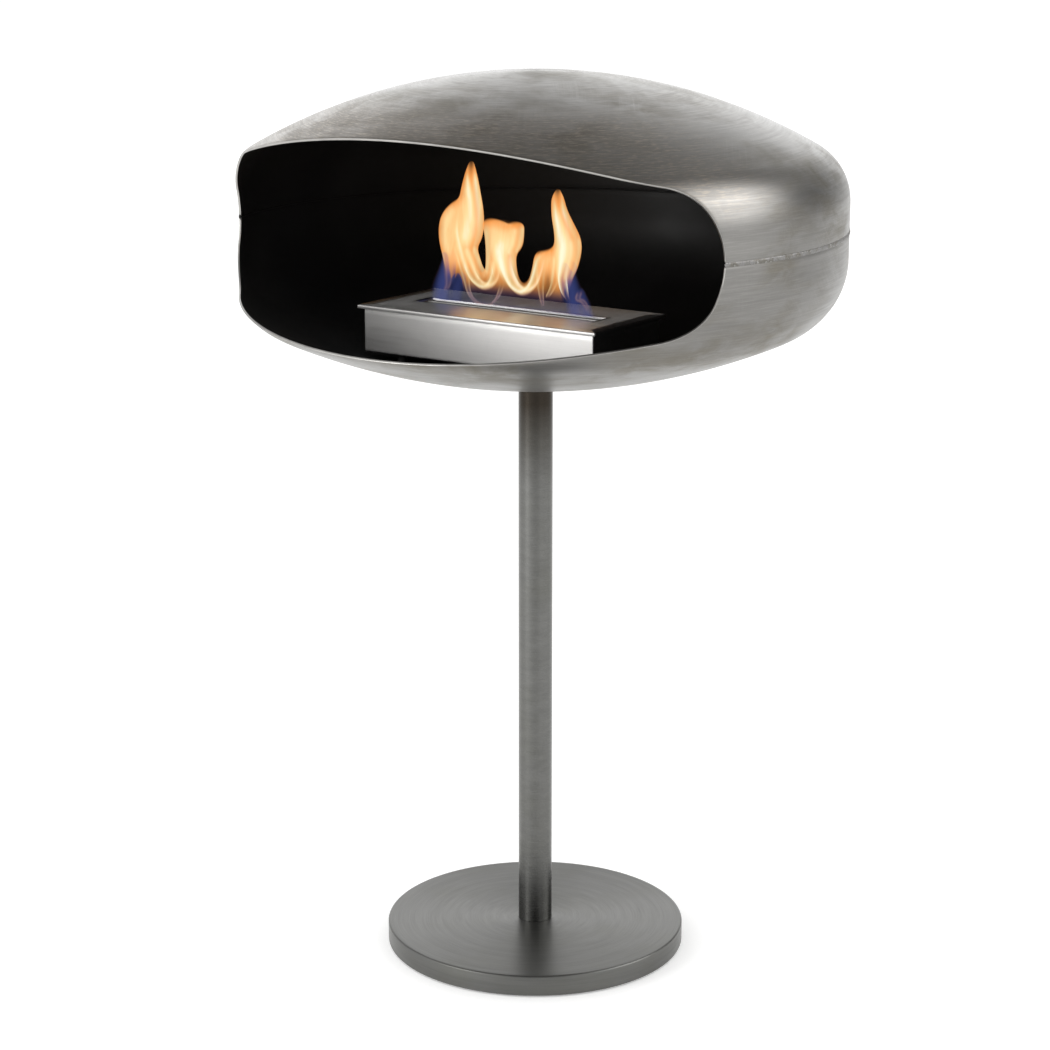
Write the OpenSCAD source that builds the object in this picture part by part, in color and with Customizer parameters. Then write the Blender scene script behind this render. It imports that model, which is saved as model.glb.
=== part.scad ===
// Free-standing ethanol fire: a spun steel pod on a pole and a round base, with a box burner inside.
// Millimetres. +Z is up, the mouth of the pod faces -Y, and the origin is the middle of the floor face.

/* [Base] */
// Diameter of the base disc
base_d = 430; // [380:1:460]
// Thickness of the base disc
base_t = 30; // [24:1:36]
// Radius of the rounded edge of the base disc
base_edge = 2.5; // [1:0.5:4]
// Thickness of the floor pad under the disc
pad_t = 2; // [1:0.5:3]
// Diameter of the floor pad
pad_d = 414; // [340:1:420]

/* [Pole] */
// Outside diameter of the pole tube
pole_d = 48.3; // [44:0.1:52]
// Wall of the pole tube
pole_wall = 2.6; // [2:0.1:3.2]

/* [Pod] */
// Height of the welded seam round the middle of the pod
seam_z = 1048; // [900:1:1200]
// Outside diameter of the pod
pod_d = 855; // [840:1:870]
// Thickness of the spun steel
shell_t = 3; // [2:0.5:4]
// Large radius of the upper dish
crown_upper = 790; // [740:5:860]
// Shoulder radius of the upper dish
knuckle_upper = 80; // [70:1:95]
// Straight wall below the upper shoulder
flange_upper = 40; // [30:1:45]
// Large radius of the lower dish
crown_lower = 890; // [850:5:940]
// Shoulder radius of the lower dish
knuckle_lower = 108; // [95:1:120]
// Straight wall above the lower shoulder
flange_lower = 38; // [30:1:45]

/* [Mouth] */
// Half the width of the mouth
mouth_half_w = 396; // [380:1:402]
// Height of the mouth above the seam
mouth_top = 144; // [130:1:150]
// Depth of the mouth below the seam
mouth_bottom = 129; // [120:1:134]
// Radius of the long upper edge
sweep_top = 1280; // [1100:10:1500]
// Radius of the long lower edge
sweep_bottom = 1750; // [1500:10:2200]
// Radius of the upright ends
sweep_end = 220; // [180:5:260]
// Radius of the upper corners
corner_top = 74; // [40:1:90]
// Radius of the lower corners
corner_bottom = 66; // [40:1:80]

/* [Burner] */
// Length of the burner's top plate
plate_l = 392; // [380:1:400]
// Width of the burner's top plate
plate_w = 176; // [168:1:180]
// Height of the top of the burner above the floor
plate_z = 941; // [938:1:943]
// Height of the whole burner
burner_h = 65; // [62:1:66]
// How far the burner stands in front of the pole's axis
burner_forward = 62; // [58:1:64]
// Length of the flame slot
slot_l = 290; // [250:1:300]
// Width of the flame slot
slot_w = 36; // [34:1:38]

/* [Hidden] */

fine = 180;
medium = 72;
small = 40;
skin = 0.01;

steel = "#8b8b87";
bright_steel = "#b9bab8";
black = "#161616";

pod_r = pod_d / 2;
pole_r = pole_d / 2;
pole_bore_r = pole_r - pole_wall;
base_top = pad_t + base_t;

// Height of a dish from its rim to its crown, and the height of the centre of its crown arc.
function dish_h(r, crown, knuckle, flange) =
    crown - sqrt(pow(crown - knuckle, 2) - pow(r - knuckle, 2)) + flange;
function crown_centre(r, crown, knuckle, flange) = dish_h(r, crown, knuckle, flange) - crown;

upper_h = dish_h(pod_r, crown_upper, knuckle_upper, flange_upper);
lower_h = dish_h(pod_r, crown_lower, knuckle_lower, flange_lower);
pod_bottom = seam_z - lower_h;
bowl_centre = pod_bottom + crown_lower;
bowl_inside_r = crown_lower - shell_t;

// Swivel: a shoulder bolt stands in the pole's head, and the bowl turns on it between two washers.
bolt_shoulder_r = 10;
bolt_thread_r = 8;
bolt_head_r = 15;
bolt_head_h = 12;
run_gap = 0.08;
lift = 0.05;
thrust_t = 1.5;
pole_top = pod_bottom - lift - thrust_t;
plug_h = 40;
thread_l = 32;
doubler_r = 70;
doubler_t = 5;
doubler_gap = 0.1;
doubler_top = pod_bottom + shell_t + doubler_t;
upper_washer_r = 20;
upper_washer_t = 2;
upper_washer_z = doubler_top + 0.3;
spring_r = 18;
spring_h = 3;
spring_t = 1.2;
spring_z = upper_washer_z + upper_washer_t;
bolt_head_z = spring_z + spring_h;

// Foot: one countersunk bolt draws the pole onto the base.
foot_bolt_r = 8;
foot_head_r = 15;
foot_head_h = 9;
foot_thread_l = 28;
foot_washer_r = 17;
foot_washer_t = 3;
foot_recess = foot_head_h + foot_washer_t + 1;

// Weld round the seam.
weld_root = 1;
weld_cap_half = 3.2;
weld_cap = 0.8;

// Burner, in its own frame: x along the slot, y to the back, z up from the burner's underside.
burner_z = plate_z - burner_h;
plate_t = 1.5;
plate_fold = 5;
overhang = 7;
casing_l = plate_l - 2 * overhang;
casing_w = plate_w - 2 * overhang;
casing_h = burner_h - plate_t;
casing_t = 1.5;
rail_h = 3;
reservoir_l = casing_l - 24;
reservoir_w = casing_w - 20;
reservoir_h = 48;
reservoir_t = 1.2;
reservoir_z = casing_t + rail_h;
fibre_h = 36;
mesh_t = 1;
collar_t = 1.2;
collar_down = 2;

// Sliding cover, drawn as far open as when the fire burns. It runs slider_travel each way.
slider_t = 1.5;
slider_l = slot_l + 16;
slider_w = 42;
slider_gap = 0.4;
slider_travel = 12;
slider_z = burner_h - plate_t - collar_down - slider_gap - slider_t;
slider_back = slot_w / 2 - slider_gap - slider_travel;
lip_t = 1.2;
lip_h = 2;
guide_t = 1.5;
guide_l = slider_w + 2 * slider_travel + 10;
guide_middle = slider_back - slider_w / 2;

// Tray that the burner stands on.
tray_t = 2;
tray_gap = 1.5;
tray_edge_h = 10;
tray_z = burner_z - tray_t;
tray_l = casing_l + 2 * tray_gap;
tray_w = casing_w - 12;
standoff_x = 150;
standoff_y = 46;
standoff_r = 7;
tray_screw_r = 3;
tray_screw_head_r = 5.5;
tray_screw_l = 12;

function arc(centre, r, from, to, steps) =
    [for (i = [0:steps]) centre + r * [cos(from + (to - from) * i / steps), sin(from + (to - from) * i / steps)]];

// Centre of a corner arc that touches a long arc centred on the y axis and an end arc centred on the x axis.
function corner_centre(long_c, long_r, end_c, end_r, r) =
    let (a = long_r - r, b = end_r - r, d = norm([end_c, long_c]))
    let (along = (a * a - b * b + d * d) / (2 * d), off = sqrt(a * a - along * along))
    let (u = [end_c, -long_c] / d)
    [0, long_c] + along * u + off * [u.y, -u.x];

// Right half of one long edge of the mouth, from the middle to the right end. The long arc bows upwards.
function mouth_quarter(height, sweep, corner) =
    let (long_c = height - sweep, end_c = mouth_half_w - sweep_end)
    let (c = corner_centre(long_c, sweep, end_c, sweep_end, corner))
    let (turn = atan2(c.y - long_c, c.x), tilt = atan2(c.y, c.x - end_c))
    concat(
        arc([0, long_c], sweep, 90, turn, 12),
        [for (p = arc(c, corner, turn, tilt, 8)) p],
        [for (p = arc([end_c, 0], sweep_end, tilt, 0, 4)) p]
    );

function without_repeats(p) = [for (i = [0:len(p) - 1]) if (i == 0 || norm(p[i] - p[i - 1]) > skin) p[i]];
function flipped(p, x, y) = [for (q = p) [q.x * x, q.y * y]];
function backwards(p) = [for (i = [len(p) - 1:-1:0]) p[i]];

mouth_upper = without_repeats(mouth_quarter(mouth_top, sweep_top, corner_top));
mouth_lower = without_repeats(mouth_quarter(mouth_bottom, sweep_bottom, corner_bottom));
mouth_outline = without_repeats(concat(
    mouth_upper,
    backwards(flipped(mouth_lower, 1, -1)),
    flipped(mouth_lower, -1, -1),
    backwards(flipped(mouth_upper, -1, 1))
));

// Half section of one dish, rim on the x axis and crown on the y axis, true arcs throughout.
module dish_section(r, crown, knuckle, flange) {
    turn = asin((r - knuckle) / (crown - knuckle));
    reach = 3 * knuckle;
    difference() {
        intersection() {
            square([r, crown]);
            translate([0, crown_centre(r, crown, knuckle, flange)]) circle(r = crown, $fn = fine);
        }
        translate([r - knuckle, flange])
            difference() {
                polygon([[0, 0], [reach, 0], [reach, reach], reach * [sin(turn), cos(turn)]]);
                circle(r = knuckle, $fn = fine);
            }
    }
}

// Rim at z = gap, crown up.
module dish(crown, knuckle, flange, gap) {
    difference() {
        rotate_extrude($fn = fine) dish_section(pod_r, crown, knuckle, flange);
        rotate_extrude($fn = fine) dish_section(pod_r - shell_t, crown - shell_t, knuckle - shell_t, flange);
        translate([0, 0, -1]) cylinder(r = pod_r + 1, h = 1 + gap, $fn = fine);
    }
}

module mouth_cutter() {
    rotate([90, 0, 0])
        linear_extrude(pod_r + 50)
            polygon(mouth_outline);
}

module ring(outer_r, inner_r, height, facets = medium) {
    difference() {
        cylinder(r = outer_r, h = height, $fn = facets);
        translate([0, 0, -1]) cylinder(r = inner_r, h = height + 2, $fn = facets);
    }
}

module open_box(length, width, height, wall) {
    difference() {
        translate([-length / 2, -width / 2, 0]) cube([length, width, height]);
        translate([-length / 2 + wall, -width / 2 + wall, wall])
            cube([length - 2 * wall, width - 2 * wall, height]);
    }
}

module hex_socket(across_flats, depth) {
    cylinder(r = across_flats / sqrt(3), h = depth, $fn = 6);
}

module in_burner() {
    translate([0, -burner_forward, burner_z]) children();
}

module base_pad() {
    color(black) cylinder(d = pad_d, h = pad_t, $fn = fine);
}

module base_disc() {
    color(steel)
        difference() {
            translate([0, 0, pad_t])
                rotate_extrude($fn = fine)
                    union() {
                        square([base_d / 2 - base_edge, base_t]);
                        translate([0, base_edge]) square([base_d / 2, base_t - 2 * base_edge]);
                        translate([base_d / 2 - base_edge, base_edge]) circle(r = base_edge, $fn = small);
                        translate([base_d / 2 - base_edge, base_t - base_edge]) circle(r = base_edge, $fn = small);
                    }
            translate([0, 0, pad_t - 1]) cylinder(r = foot_washer_r + 1, h = foot_recess + 1, $fn = medium);
            cylinder(r = foot_bolt_r + 0.5, h = base_top + 1, $fn = medium);
        }
}

module base_washer() {
    color(bright_steel)
        translate([0, 0, pad_t + foot_recess - foot_washer_t])
            ring(foot_washer_r, foot_bolt_r + 0.3, foot_washer_t);
}

module base_bolt() {
    head_z = pad_t + foot_recess - foot_washer_t - foot_head_h;
    color(bright_steel)
        difference() {
            union() {
                translate([0, 0, head_z]) cylinder(r = foot_head_r, h = foot_head_h, $fn = medium);
                translate([0, 0, head_z + foot_head_h - skin])
                    cylinder(r = foot_bolt_r, h = base_top + foot_thread_l - head_z - foot_head_h, $fn = medium);
            }
            translate([0, 0, head_z - 1]) hex_socket(10, foot_head_h - 2);
        }
}

module pole() {
    color(steel)
        translate([0, 0, base_top]) ring(pole_r, pole_bore_r, pole_top - base_top, fine);
}

module pole_foot_plug() {
    color(bright_steel)
        translate([0, 0, base_top])
            difference() {
                cylinder(r = pole_bore_r, h = plug_h, $fn = fine);
                translate([0, 0, -1]) cylinder(r = foot_bolt_r, h = foot_thread_l + 3, $fn = medium);
            }
}

module pole_head_plug() {
    color(bright_steel)
        translate([0, 0, pole_top - plug_h])
            difference() {
                cylinder(r = pole_bore_r, h = plug_h, $fn = fine);
                translate([0, 0, plug_h - thread_l - 2]) cylinder(r = bolt_thread_r, h = thread_l + 3, $fn = medium);
            }
}

module lower_thrust_washer() {
    color("#8a6a3a")
        translate([0, 0, pole_top]) ring(pole_r, bolt_shoulder_r + 0.2, thrust_t);
}

module swivel_bolt() {
    color(bright_steel)
        difference() {
            union() {
                translate([0, 0, pole_top - thread_l]) cylinder(r = bolt_thread_r, h = thread_l + 1, $fn = medium);
                translate([0, 0, pole_top]) cylinder(r = bolt_shoulder_r, h = bolt_head_z - pole_top + 1, $fn = medium);
                translate([0, 0, bolt_head_z]) cylinder(r = bolt_head_r, h = bolt_head_h, $fn = medium);
            }
            translate([0, 0, bolt_head_z + 4]) hex_socket(12, bolt_head_h);
        }
}

module upper_thrust_washer() {
    color("#8a6a3a")
        translate([0, 0, upper_washer_z]) ring(upper_washer_r, bolt_shoulder_r + 0.2, upper_washer_t);
}

module disc_spring() {
    inner_r = bolt_shoulder_r + 0.4;
    color(steel)
        translate([0, 0, spring_z])
            rotate_extrude($fn = medium)
                polygon([
                    [spring_r, 0], [spring_r, spring_t],
                    [inner_r, spring_h], [inner_r, spring_h - spring_t]
                ]);
}

module lower_shell() {
    color(steel)
        translate([0, 0, seam_z])
            difference() {
                mirror([0, 0, 1]) dish(crown_lower, knuckle_lower, flange_lower, weld_root);
                mouth_cutter();
                translate([0, 0, -lower_h - 1]) cylinder(r = bolt_shoulder_r + run_gap, h = 10, $fn = medium);
            }
}

module upper_shell() {
    color(steel)
        translate([0, 0, seam_z])
            difference() {
                dish(crown_upper, knuckle_upper, flange_upper, weld_root);
                mouth_cutter();
            }
}

module equator_weld() {
    color(bright_steel)
        translate([0, 0, seam_z])
            difference() {
                rotate_extrude($fn = fine)
                    polygon([
                        [pod_r - shell_t, -weld_root], [pod_r, -weld_root], [pod_r, -weld_cap_half],
                        [pod_r + weld_cap, -weld_cap_half / 2], [pod_r + weld_cap, weld_cap_half / 2],
                        [pod_r, weld_cap_half], [pod_r, weld_root], [pod_r - shell_t, weld_root]
                    ]);
                mouth_cutter();
            }
}

module doubler_plate() {
    color(black)
        difference() {
            intersection() {
                translate([0, 0, bowl_centre]) sphere(r = bowl_inside_r - doubler_gap, $fn = fine);
                translate([0, 0, pod_bottom]) cylinder(r = doubler_r, h = 30, $fn = fine);
            }
            translate([0, 0, bowl_centre]) sphere(r = bowl_inside_r - doubler_t, $fn = fine);
            translate([0, 0, pod_bottom]) cylinder(r = bolt_shoulder_r + run_gap, h = 40, $fn = medium);
        }
}

module at_tray_corners() {
    for (x = [-standoff_x, standoff_x], y = [-standoff_y, standoff_y])
        translate([x, y - burner_forward, 0]) children();
}

module tray_standoffs() {
    color(black)
        difference() {
            intersection() {
                at_tray_corners()
                    translate([0, 0, pod_bottom]) cylinder(r = standoff_r, h = tray_z - pod_bottom, $fn = small);
                translate([0, 0, bowl_centre]) sphere(r = bowl_inside_r, $fn = fine);
            }
            at_tray_corners()
                translate([0, 0, tray_z - tray_screw_l]) cylinder(r = tray_screw_r, h = tray_screw_l + 1, $fn = small);
        }
}

module burner_tray() {
    color(black)
        difference() {
            translate([0, -burner_forward, tray_z])
                union() {
                    translate([-tray_l / 2, -tray_w / 2, 0]) cube([tray_l, tray_w, tray_t]);
                    for (side = [-1, 1])
                        translate([side * (tray_l + tray_t) / 2 - tray_t / 2, -tray_w / 2, 0])
                            cube([tray_t, tray_w, tray_edge_h]);
                }
            at_tray_corners() {
                translate([0, 0, tray_z - 1]) cylinder(r = tray_screw_r, h = tray_t + 2, $fn = small);
                translate([0, 0, tray_z + 0.5]) cylinder(r = tray_screw_head_r, h = tray_t, $fn = small);
            }
        }
}

module tray_screws() {
    color(bright_steel)
        difference() {
            union() {
                at_tray_corners()
                    translate([0, 0, tray_z - tray_screw_l + 1])
                        cylinder(r = tray_screw_r, h = tray_screw_l, $fn = small);
                at_tray_corners()
                    translate([0, 0, tray_z + 0.5]) cylinder(r = tray_screw_head_r, h = tray_t - 0.7, $fn = small);
            }
            at_tray_corners() translate([0, 0, tray_z + 1]) hex_socket(3, tray_t);
        }
}

module burner_casing() {
    color(bright_steel) in_burner() open_box(casing_l, casing_w, casing_h, casing_t);
}

module reservoir_rails() {
    color(bright_steel)
        in_burner()
            for (x = [-1, 1])
                translate([x * reservoir_l / 3 - 6, -reservoir_w / 2, casing_t]) cube([12, reservoir_w, rail_h]);
}

module fuel_reservoir() {
    color(bright_steel)
        in_burner()
            translate([0, 0, reservoir_z]) open_box(reservoir_l, reservoir_w, reservoir_h, reservoir_t);
}

module ceramic_fibre() {
    length = reservoir_l - 2 * reservoir_t - 0.5;
    width = reservoir_w - 2 * reservoir_t - 0.5;
    color("#e8e4d8")
        in_burner()
            translate([-length / 2, -width / 2, reservoir_z + reservoir_t]) cube([length, width, fibre_h]);
}

module retaining_mesh() {
    length = reservoir_l - 2 * reservoir_t - 1;
    width = reservoir_w - 2 * reservoir_t - 1;
    color(steel)
        in_burner()
            translate([-length / 2, -width / 2, reservoir_z + reservoir_t + fibre_h]) cube([length, width, mesh_t]);
}

module slot_hole(grow, height) {
    translate([-slot_l / 2 - grow, -slot_w / 2 - grow, 0]) cube([slot_l + 2 * grow, slot_w + 2 * grow, height]);
}

module burner_top_plate() {
    color(bright_steel)
        in_burner()
            difference() {
                translate([-plate_l / 2, -plate_w / 2, burner_h - plate_fold]) cube([plate_l, plate_w, plate_fold]);
                translate([-plate_l / 2 + plate_t, -plate_w / 2 + plate_t, burner_h - plate_fold - 1])
                    cube([plate_l - 2 * plate_t, plate_w - 2 * plate_t, plate_fold - plate_t + 1]);
                translate([0, 0, burner_h - plate_fold]) slot_hole(collar_t, 2 * plate_fold);
            }
}

module slot_collar() {
    color(bright_steel)
        in_burner()
            translate([0, 0, burner_h - plate_t - collar_down])
                difference() {
                    slot_hole(collar_t, plate_t + collar_down);
                    translate([0, 0, -1]) slot_hole(0, 2 * plate_fold);
                }
}

module slider_guides() {
    rail_top = burner_h - plate_t;
    rail_low = slider_z - slider_gap - guide_t;
    rail_x = slider_l / 2 + slider_gap;
    shelf_w = 6;
    color(bright_steel)
        in_burner()
            for (side = [0, 1])
                mirror([side, 0, 0])
                    translate([rail_x, guide_middle - guide_l / 2, rail_low])
                        union() {
                            cube([guide_t, guide_l, rail_top - rail_low]);
                            translate([-shelf_w, 0, 0]) cube([shelf_w + guide_t, guide_l, guide_t]);
                        }
}

module slider_plate() {
    lip_l = slot_l - 2 * slider_gap;
    color(bright_steel)
        in_burner()
            translate([0, slider_back, slider_z])
                union() {
                    translate([-slider_l / 2, -slider_w, 0]) cube([slider_l, slider_w, slider_t]);
                    translate([-lip_l / 2, -lip_t, 0]) cube([lip_l, lip_t, slider_t + lip_h]);
                }
}

base_pad();
base_disc();
base_bolt();
base_washer();
pole();
pole_foot_plug();
pole_head_plug();
lower_thrust_washer();
swivel_bolt();
upper_thrust_washer();
disc_spring();
lower_shell();
upper_shell();
equator_weld();
doubler_plate();
tray_standoffs();
burner_tray();
tray_screws();
burner_casing();
reservoir_rails();
fuel_reservoir();
ceramic_fibre();
retaining_mesh();
burner_top_plate();
slot_collar();
slider_guides();
slider_plate();
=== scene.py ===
import math
from functools import partial

import bmesh
import bpy
import numpy as np
from bpy.props import FloatProperty, FloatVectorProperty, IntProperty, PointerProperty
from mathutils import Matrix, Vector


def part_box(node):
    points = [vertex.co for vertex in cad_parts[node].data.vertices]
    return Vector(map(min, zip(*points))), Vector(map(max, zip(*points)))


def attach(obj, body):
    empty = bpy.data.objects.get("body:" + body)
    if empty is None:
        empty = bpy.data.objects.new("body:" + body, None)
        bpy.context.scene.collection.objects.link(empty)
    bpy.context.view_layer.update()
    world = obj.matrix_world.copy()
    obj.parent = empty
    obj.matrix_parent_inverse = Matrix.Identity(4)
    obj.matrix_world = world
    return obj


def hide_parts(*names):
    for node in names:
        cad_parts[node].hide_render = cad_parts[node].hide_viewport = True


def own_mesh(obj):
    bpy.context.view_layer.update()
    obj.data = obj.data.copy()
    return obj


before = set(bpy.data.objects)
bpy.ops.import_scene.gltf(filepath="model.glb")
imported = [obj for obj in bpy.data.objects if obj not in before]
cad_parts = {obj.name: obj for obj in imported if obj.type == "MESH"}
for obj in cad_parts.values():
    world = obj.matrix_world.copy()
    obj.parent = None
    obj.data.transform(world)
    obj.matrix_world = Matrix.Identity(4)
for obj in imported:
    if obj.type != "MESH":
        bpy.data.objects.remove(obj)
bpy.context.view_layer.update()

bl_info = {
    "name": "Pedestal ethanol fire",
    "version": (1, 0, 0),
    "blender": (4, 5, 0),
    "location": "3D View > Sidebar > Fire",
    "description": "Spun steel pod on a pole and a turned base, with a slot burner and its fire",
    "category": "Object",
}

# Metres throughout. The mouth of the pod faces -Y, +Z is up, and the floor is at zero.
SHELL_LOW, SHELL_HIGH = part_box("upper_shell")
DISC_LOW, DISC_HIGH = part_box("base_disc")
PAD_LOW, PAD_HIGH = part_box("base_pad")
POLE_LOW, POLE_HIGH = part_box("pole")
PLATE_LOW, PLATE_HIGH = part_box("burner_top_plate")
CASING_LOW, CASING_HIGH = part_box("burner_casing")
COLLAR_LOW, COLLAR_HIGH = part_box("slot_collar")
SLIDER_LOW, SLIDER_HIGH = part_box("slider_plate")
MESH_LOW, MESH_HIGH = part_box("retaining_mesh")
FIBRE_LOW, FIBRE_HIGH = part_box("ceramic_fibre")
WELD_ROOT = 0.001
SEAM_HEIGHT = SHELL_LOW.z - WELD_ROOT
BURNER_Y = (PLATE_LOW.y + PLATE_HIGH.y) / 2
NOTCH_DEPTH = 0.35       # how far the notch runs into the end of the mouth, for one unit of its height


def length(name, description, default):
    return FloatProperty(name=name, description=description, default=default, min=0.0, unit="LENGTH",
                         precision=4)


def colour(name, description, default):
    return FloatVectorProperty(name=name, description=description, default=default, size=3, min=0.0, max=1.0,
                               subtype="COLOR")


class PodSettings(bpy.types.PropertyGroup):
    radius: length("Radius", "Outside radius of the pod", SHELL_HIGH.x)
    seam_height: length("Seam height", "Height of the welded seam above the floor", SEAM_HEIGHT)
    wall: length("Wall", "Thickness of the spun steel", 0.003)
    crown_upper: length("Upper crown", "Large radius of the upper dish", 0.790)
    knuckle_upper: length("Upper shoulder", "Shoulder radius of the upper dish", 0.080)
    flange_upper: length("Upper wall", "Straight wall below the upper shoulder", 0.040)
    crown_lower: length("Lower crown", "Large radius of the lower dish", 0.890)
    knuckle_lower: length("Lower shoulder", "Shoulder radius of the lower dish", 0.108)
    flange_lower: length("Lower wall", "Straight wall above the lower shoulder", 0.038)
    mouth_half_width: length("Mouth half width", "Half the width of the mouth", 0.396)
    mouth_top: length("Mouth top", "Height of the mouth above the seam", 0.144)
    mouth_bottom: length("Mouth bottom", "Depth of the mouth below the seam", 0.129)
    sweep_top: length("Upper edge", "Radius of the long upper edge of the mouth", 1.280)
    sweep_bottom: length("Lower edge", "Radius of the long lower edge of the mouth", 1.750)
    sweep_end: length("End edge", "Radius of the upright ends of the mouth", 0.220)
    corner_top: length("Upper corners", "Radius of the upper corners of the mouth", 0.074)
    corner_bottom: length("Lower corners", "Radius of the lower corners of the mouth", 0.066)
    notch: length("Notch", "Height of the small notch where the seam meets the mouth", 0.003)
    edge: length("Edge rounding", "Rounding of the cut edge", 0.0006)
    steel: colour("Steel", "Colour of the raw spun steel", (0.262, 0.256, 0.244))
    smudge: colour("Smudge", "Colour of the handling marks in the steel", (0.150, 0.134, 0.100))
    paint: colour("Paint", "Colour of the stove paint inside", (0.011, 0.0108, 0.0112))


class WeldSettings(bpy.types.PropertyGroup):
    ripple_pitch: length("Ripple pitch", "Distance from one ripple to the next", 0.0024)
    bead_width: length("Bead width", "Width of the weld bead", 0.0064)
    bead_height: length("Bead height", "How far the bead stands proud", 0.0008)
    seed: IntProperty(name="Seed", description="Seed of the uneven ripples", default=7)


class StandSettings(bpy.types.PropertyGroup):
    disc_edge: length("Disc edge", "Rounded edge of the base disc", 0.0025)
    pole_edge: length("Pole edge", "Small chamfer at the ends of the pole", 0.0004)
    steel: colour("Steel", "Colour of the brushed base and pole", (0.222, 0.222, 0.213))


class BurnerSettings(bpy.types.PropertyGroup):
    bend: length("Bend", "Outside radius of the folded edges", 0.0016)
    sheet: length("Sheet", "Thickness of the folded sheet", 0.0015)
    wire_pitch: length("Wire pitch", "Distance between the wires of the mesh", 0.005)
    wire_radius: length("Wire radius", "Radius of the wires of the mesh", 0.00035)
    steel: colour("Steel", "Colour of the brushed burner", (0.62, 0.61, 0.595))
    flame_core: colour("Flame core", "Colour in the middle of the fire", (1.0, 0.74, 0.36))
    flame_edge: colour("Flame edge", "Colour at the edge of the fire", (0.95, 0.35, 0.085))
    flame_foot: colour("Flame foot", "Colour where the fire leaves the slot", (0.07, 0.095, 0.33))
    flame_power: FloatProperty(name="Flame power", description="Brightness of the fire", default=1.1, min=0.0)


class StudioSettings(bpy.types.PropertyGroup):
    floor: colour("Floor", "Colour of the studio floor", (0.90, 0.90, 0.895))
    floor_radius: length("Floor radius", "Radius of the studio floor", 14.0)
    softbox: FloatProperty(name="Softbox", description="Power of the softbox in watts", default=26.0, min=0.0)


# ---------------------------------------------------------------- node helpers

def put(tree, value, socket):
    """Links another node's output to a socket, or sets the socket. A colour may come without its alpha."""
    if isinstance(value, bpy.types.NodeSocket):
        tree.links.new(value, socket)
    elif value is not None:
        slots = len(socket.default_value) if hasattr(socket.default_value, "__len__") else 1
        socket.default_value = (*value, 1.0) if slots == 4 and len(value) == 3 else value


def node(tree, kind, *values, out=0, named=None, **settings):
    """Adds a node, fills its inputs in order and by name, and gives back one of its outputs."""
    made = tree.nodes.new(kind)
    for key, value in settings.items():
        setattr(made, key, value)
    for socket, value in zip(made.inputs, values):
        put(tree, value, socket)
    for key, value in (named or {}).items():
        put(tree, value, made.inputs[key])
    return made.outputs[out]


def calc(tree, operation, *values, clamp=False):
    return node(tree, "ShaderNodeMath", *values, operation=operation, use_clamp=clamp)


def vector(tree, operation, *values, out=0):
    return node(tree, "ShaderNodeVectorMath", *values, operation=operation, out=out)


def combined(tree, x, y, z):
    return node(tree, "ShaderNodeCombineXYZ", x, y, z)


def noise(tree, place, scale, detail=3.0, roughness=0.55, distortion=0.0):
    return node(tree, "ShaderNodeTexNoise", named={
        "Vector": place, "Scale": scale, "Detail": detail, "Roughness": roughness, "Distortion": distortion})


def spread(tree, value, low, high, to_low=0.0, to_high=1.0):
    """Maps low..high to to_low..to_high, held inside the ends."""
    return node(tree, "ShaderNodeMapRange", value, low, high, to_low, to_high, clamp=True)


def blend(tree, share, first, second):
    made = tree.nodes.new("ShaderNodeMix")
    made.data_type, made.clamp_factor = "RGBA", True
    put(tree, share, made.inputs[0])
    put(tree, first, made.inputs[6])
    put(tree, second, made.inputs[7])
    return made.outputs[2]


def ramp(tree, value, *stops):
    made = tree.nodes.new("ShaderNodeValToRGB")
    put(tree, value, made.inputs[0])
    band = made.color_ramp
    while len(band.elements) < len(stops):
        band.elements.new(0.5)
    for element, (place, shade) in zip(band.elements, stops):
        element.position, element.color = place, (*shade, 1.0)
    return made.outputs[0]


def toned(shade, *by):
    """A shade made lighter or darker, by one number or by one each for red, green and blue."""
    return tuple(min(1.0, c * b) for c, b in zip(shade, by if len(by) == 3 else by * 3))


def start_material(name, **sockets):
    """A material with one shader. Values that are the same all over go straight onto its sockets."""
    made = bpy.data.materials.new(name)
    made.use_nodes = True
    tree = made.node_tree
    tree.nodes.clear()
    shader = tree.nodes.new("ShaderNodeBsdfPrincipled")
    tree.links.new(shader.outputs[0], tree.nodes.new("ShaderNodeOutputMaterial").inputs[0])
    for key, value in sockets.items():
        put(tree, value, shader.inputs[key.replace("_", " ")])
    return made, tree, shader


def place_of(tree, centre=(0.0, 0.0, 0.0), scale=(1.0, 1.0, 1.0)):
    place = node(tree, "ShaderNodeTexCoord", out=3)
    place = vector(tree, "SUBTRACT", place, centre)
    return vector(tree, "MULTIPLY", place, scale)


def parts_of(tree, place):
    split = tree.nodes.new("ShaderNodeSeparateXYZ")
    put(tree, place, split.inputs[0])
    return split.outputs


def world_direction(tree, direction):
    turned = node(tree, "ShaderNodeVectorTransform", direction, vector_type="VECTOR",
                  convert_from="OBJECT", convert_to="WORLD")
    return vector(tree, "NORMALIZE", turned)


def round_the_axis(tree):
    """Direction of the tool marks on a turned face: round the upright axis."""
    x, y, _ = parts_of(tree, place_of(tree))
    return world_direction(tree, combined(tree, calc(tree, "MULTIPLY", y, -1.0), x, 0.0))


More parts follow.
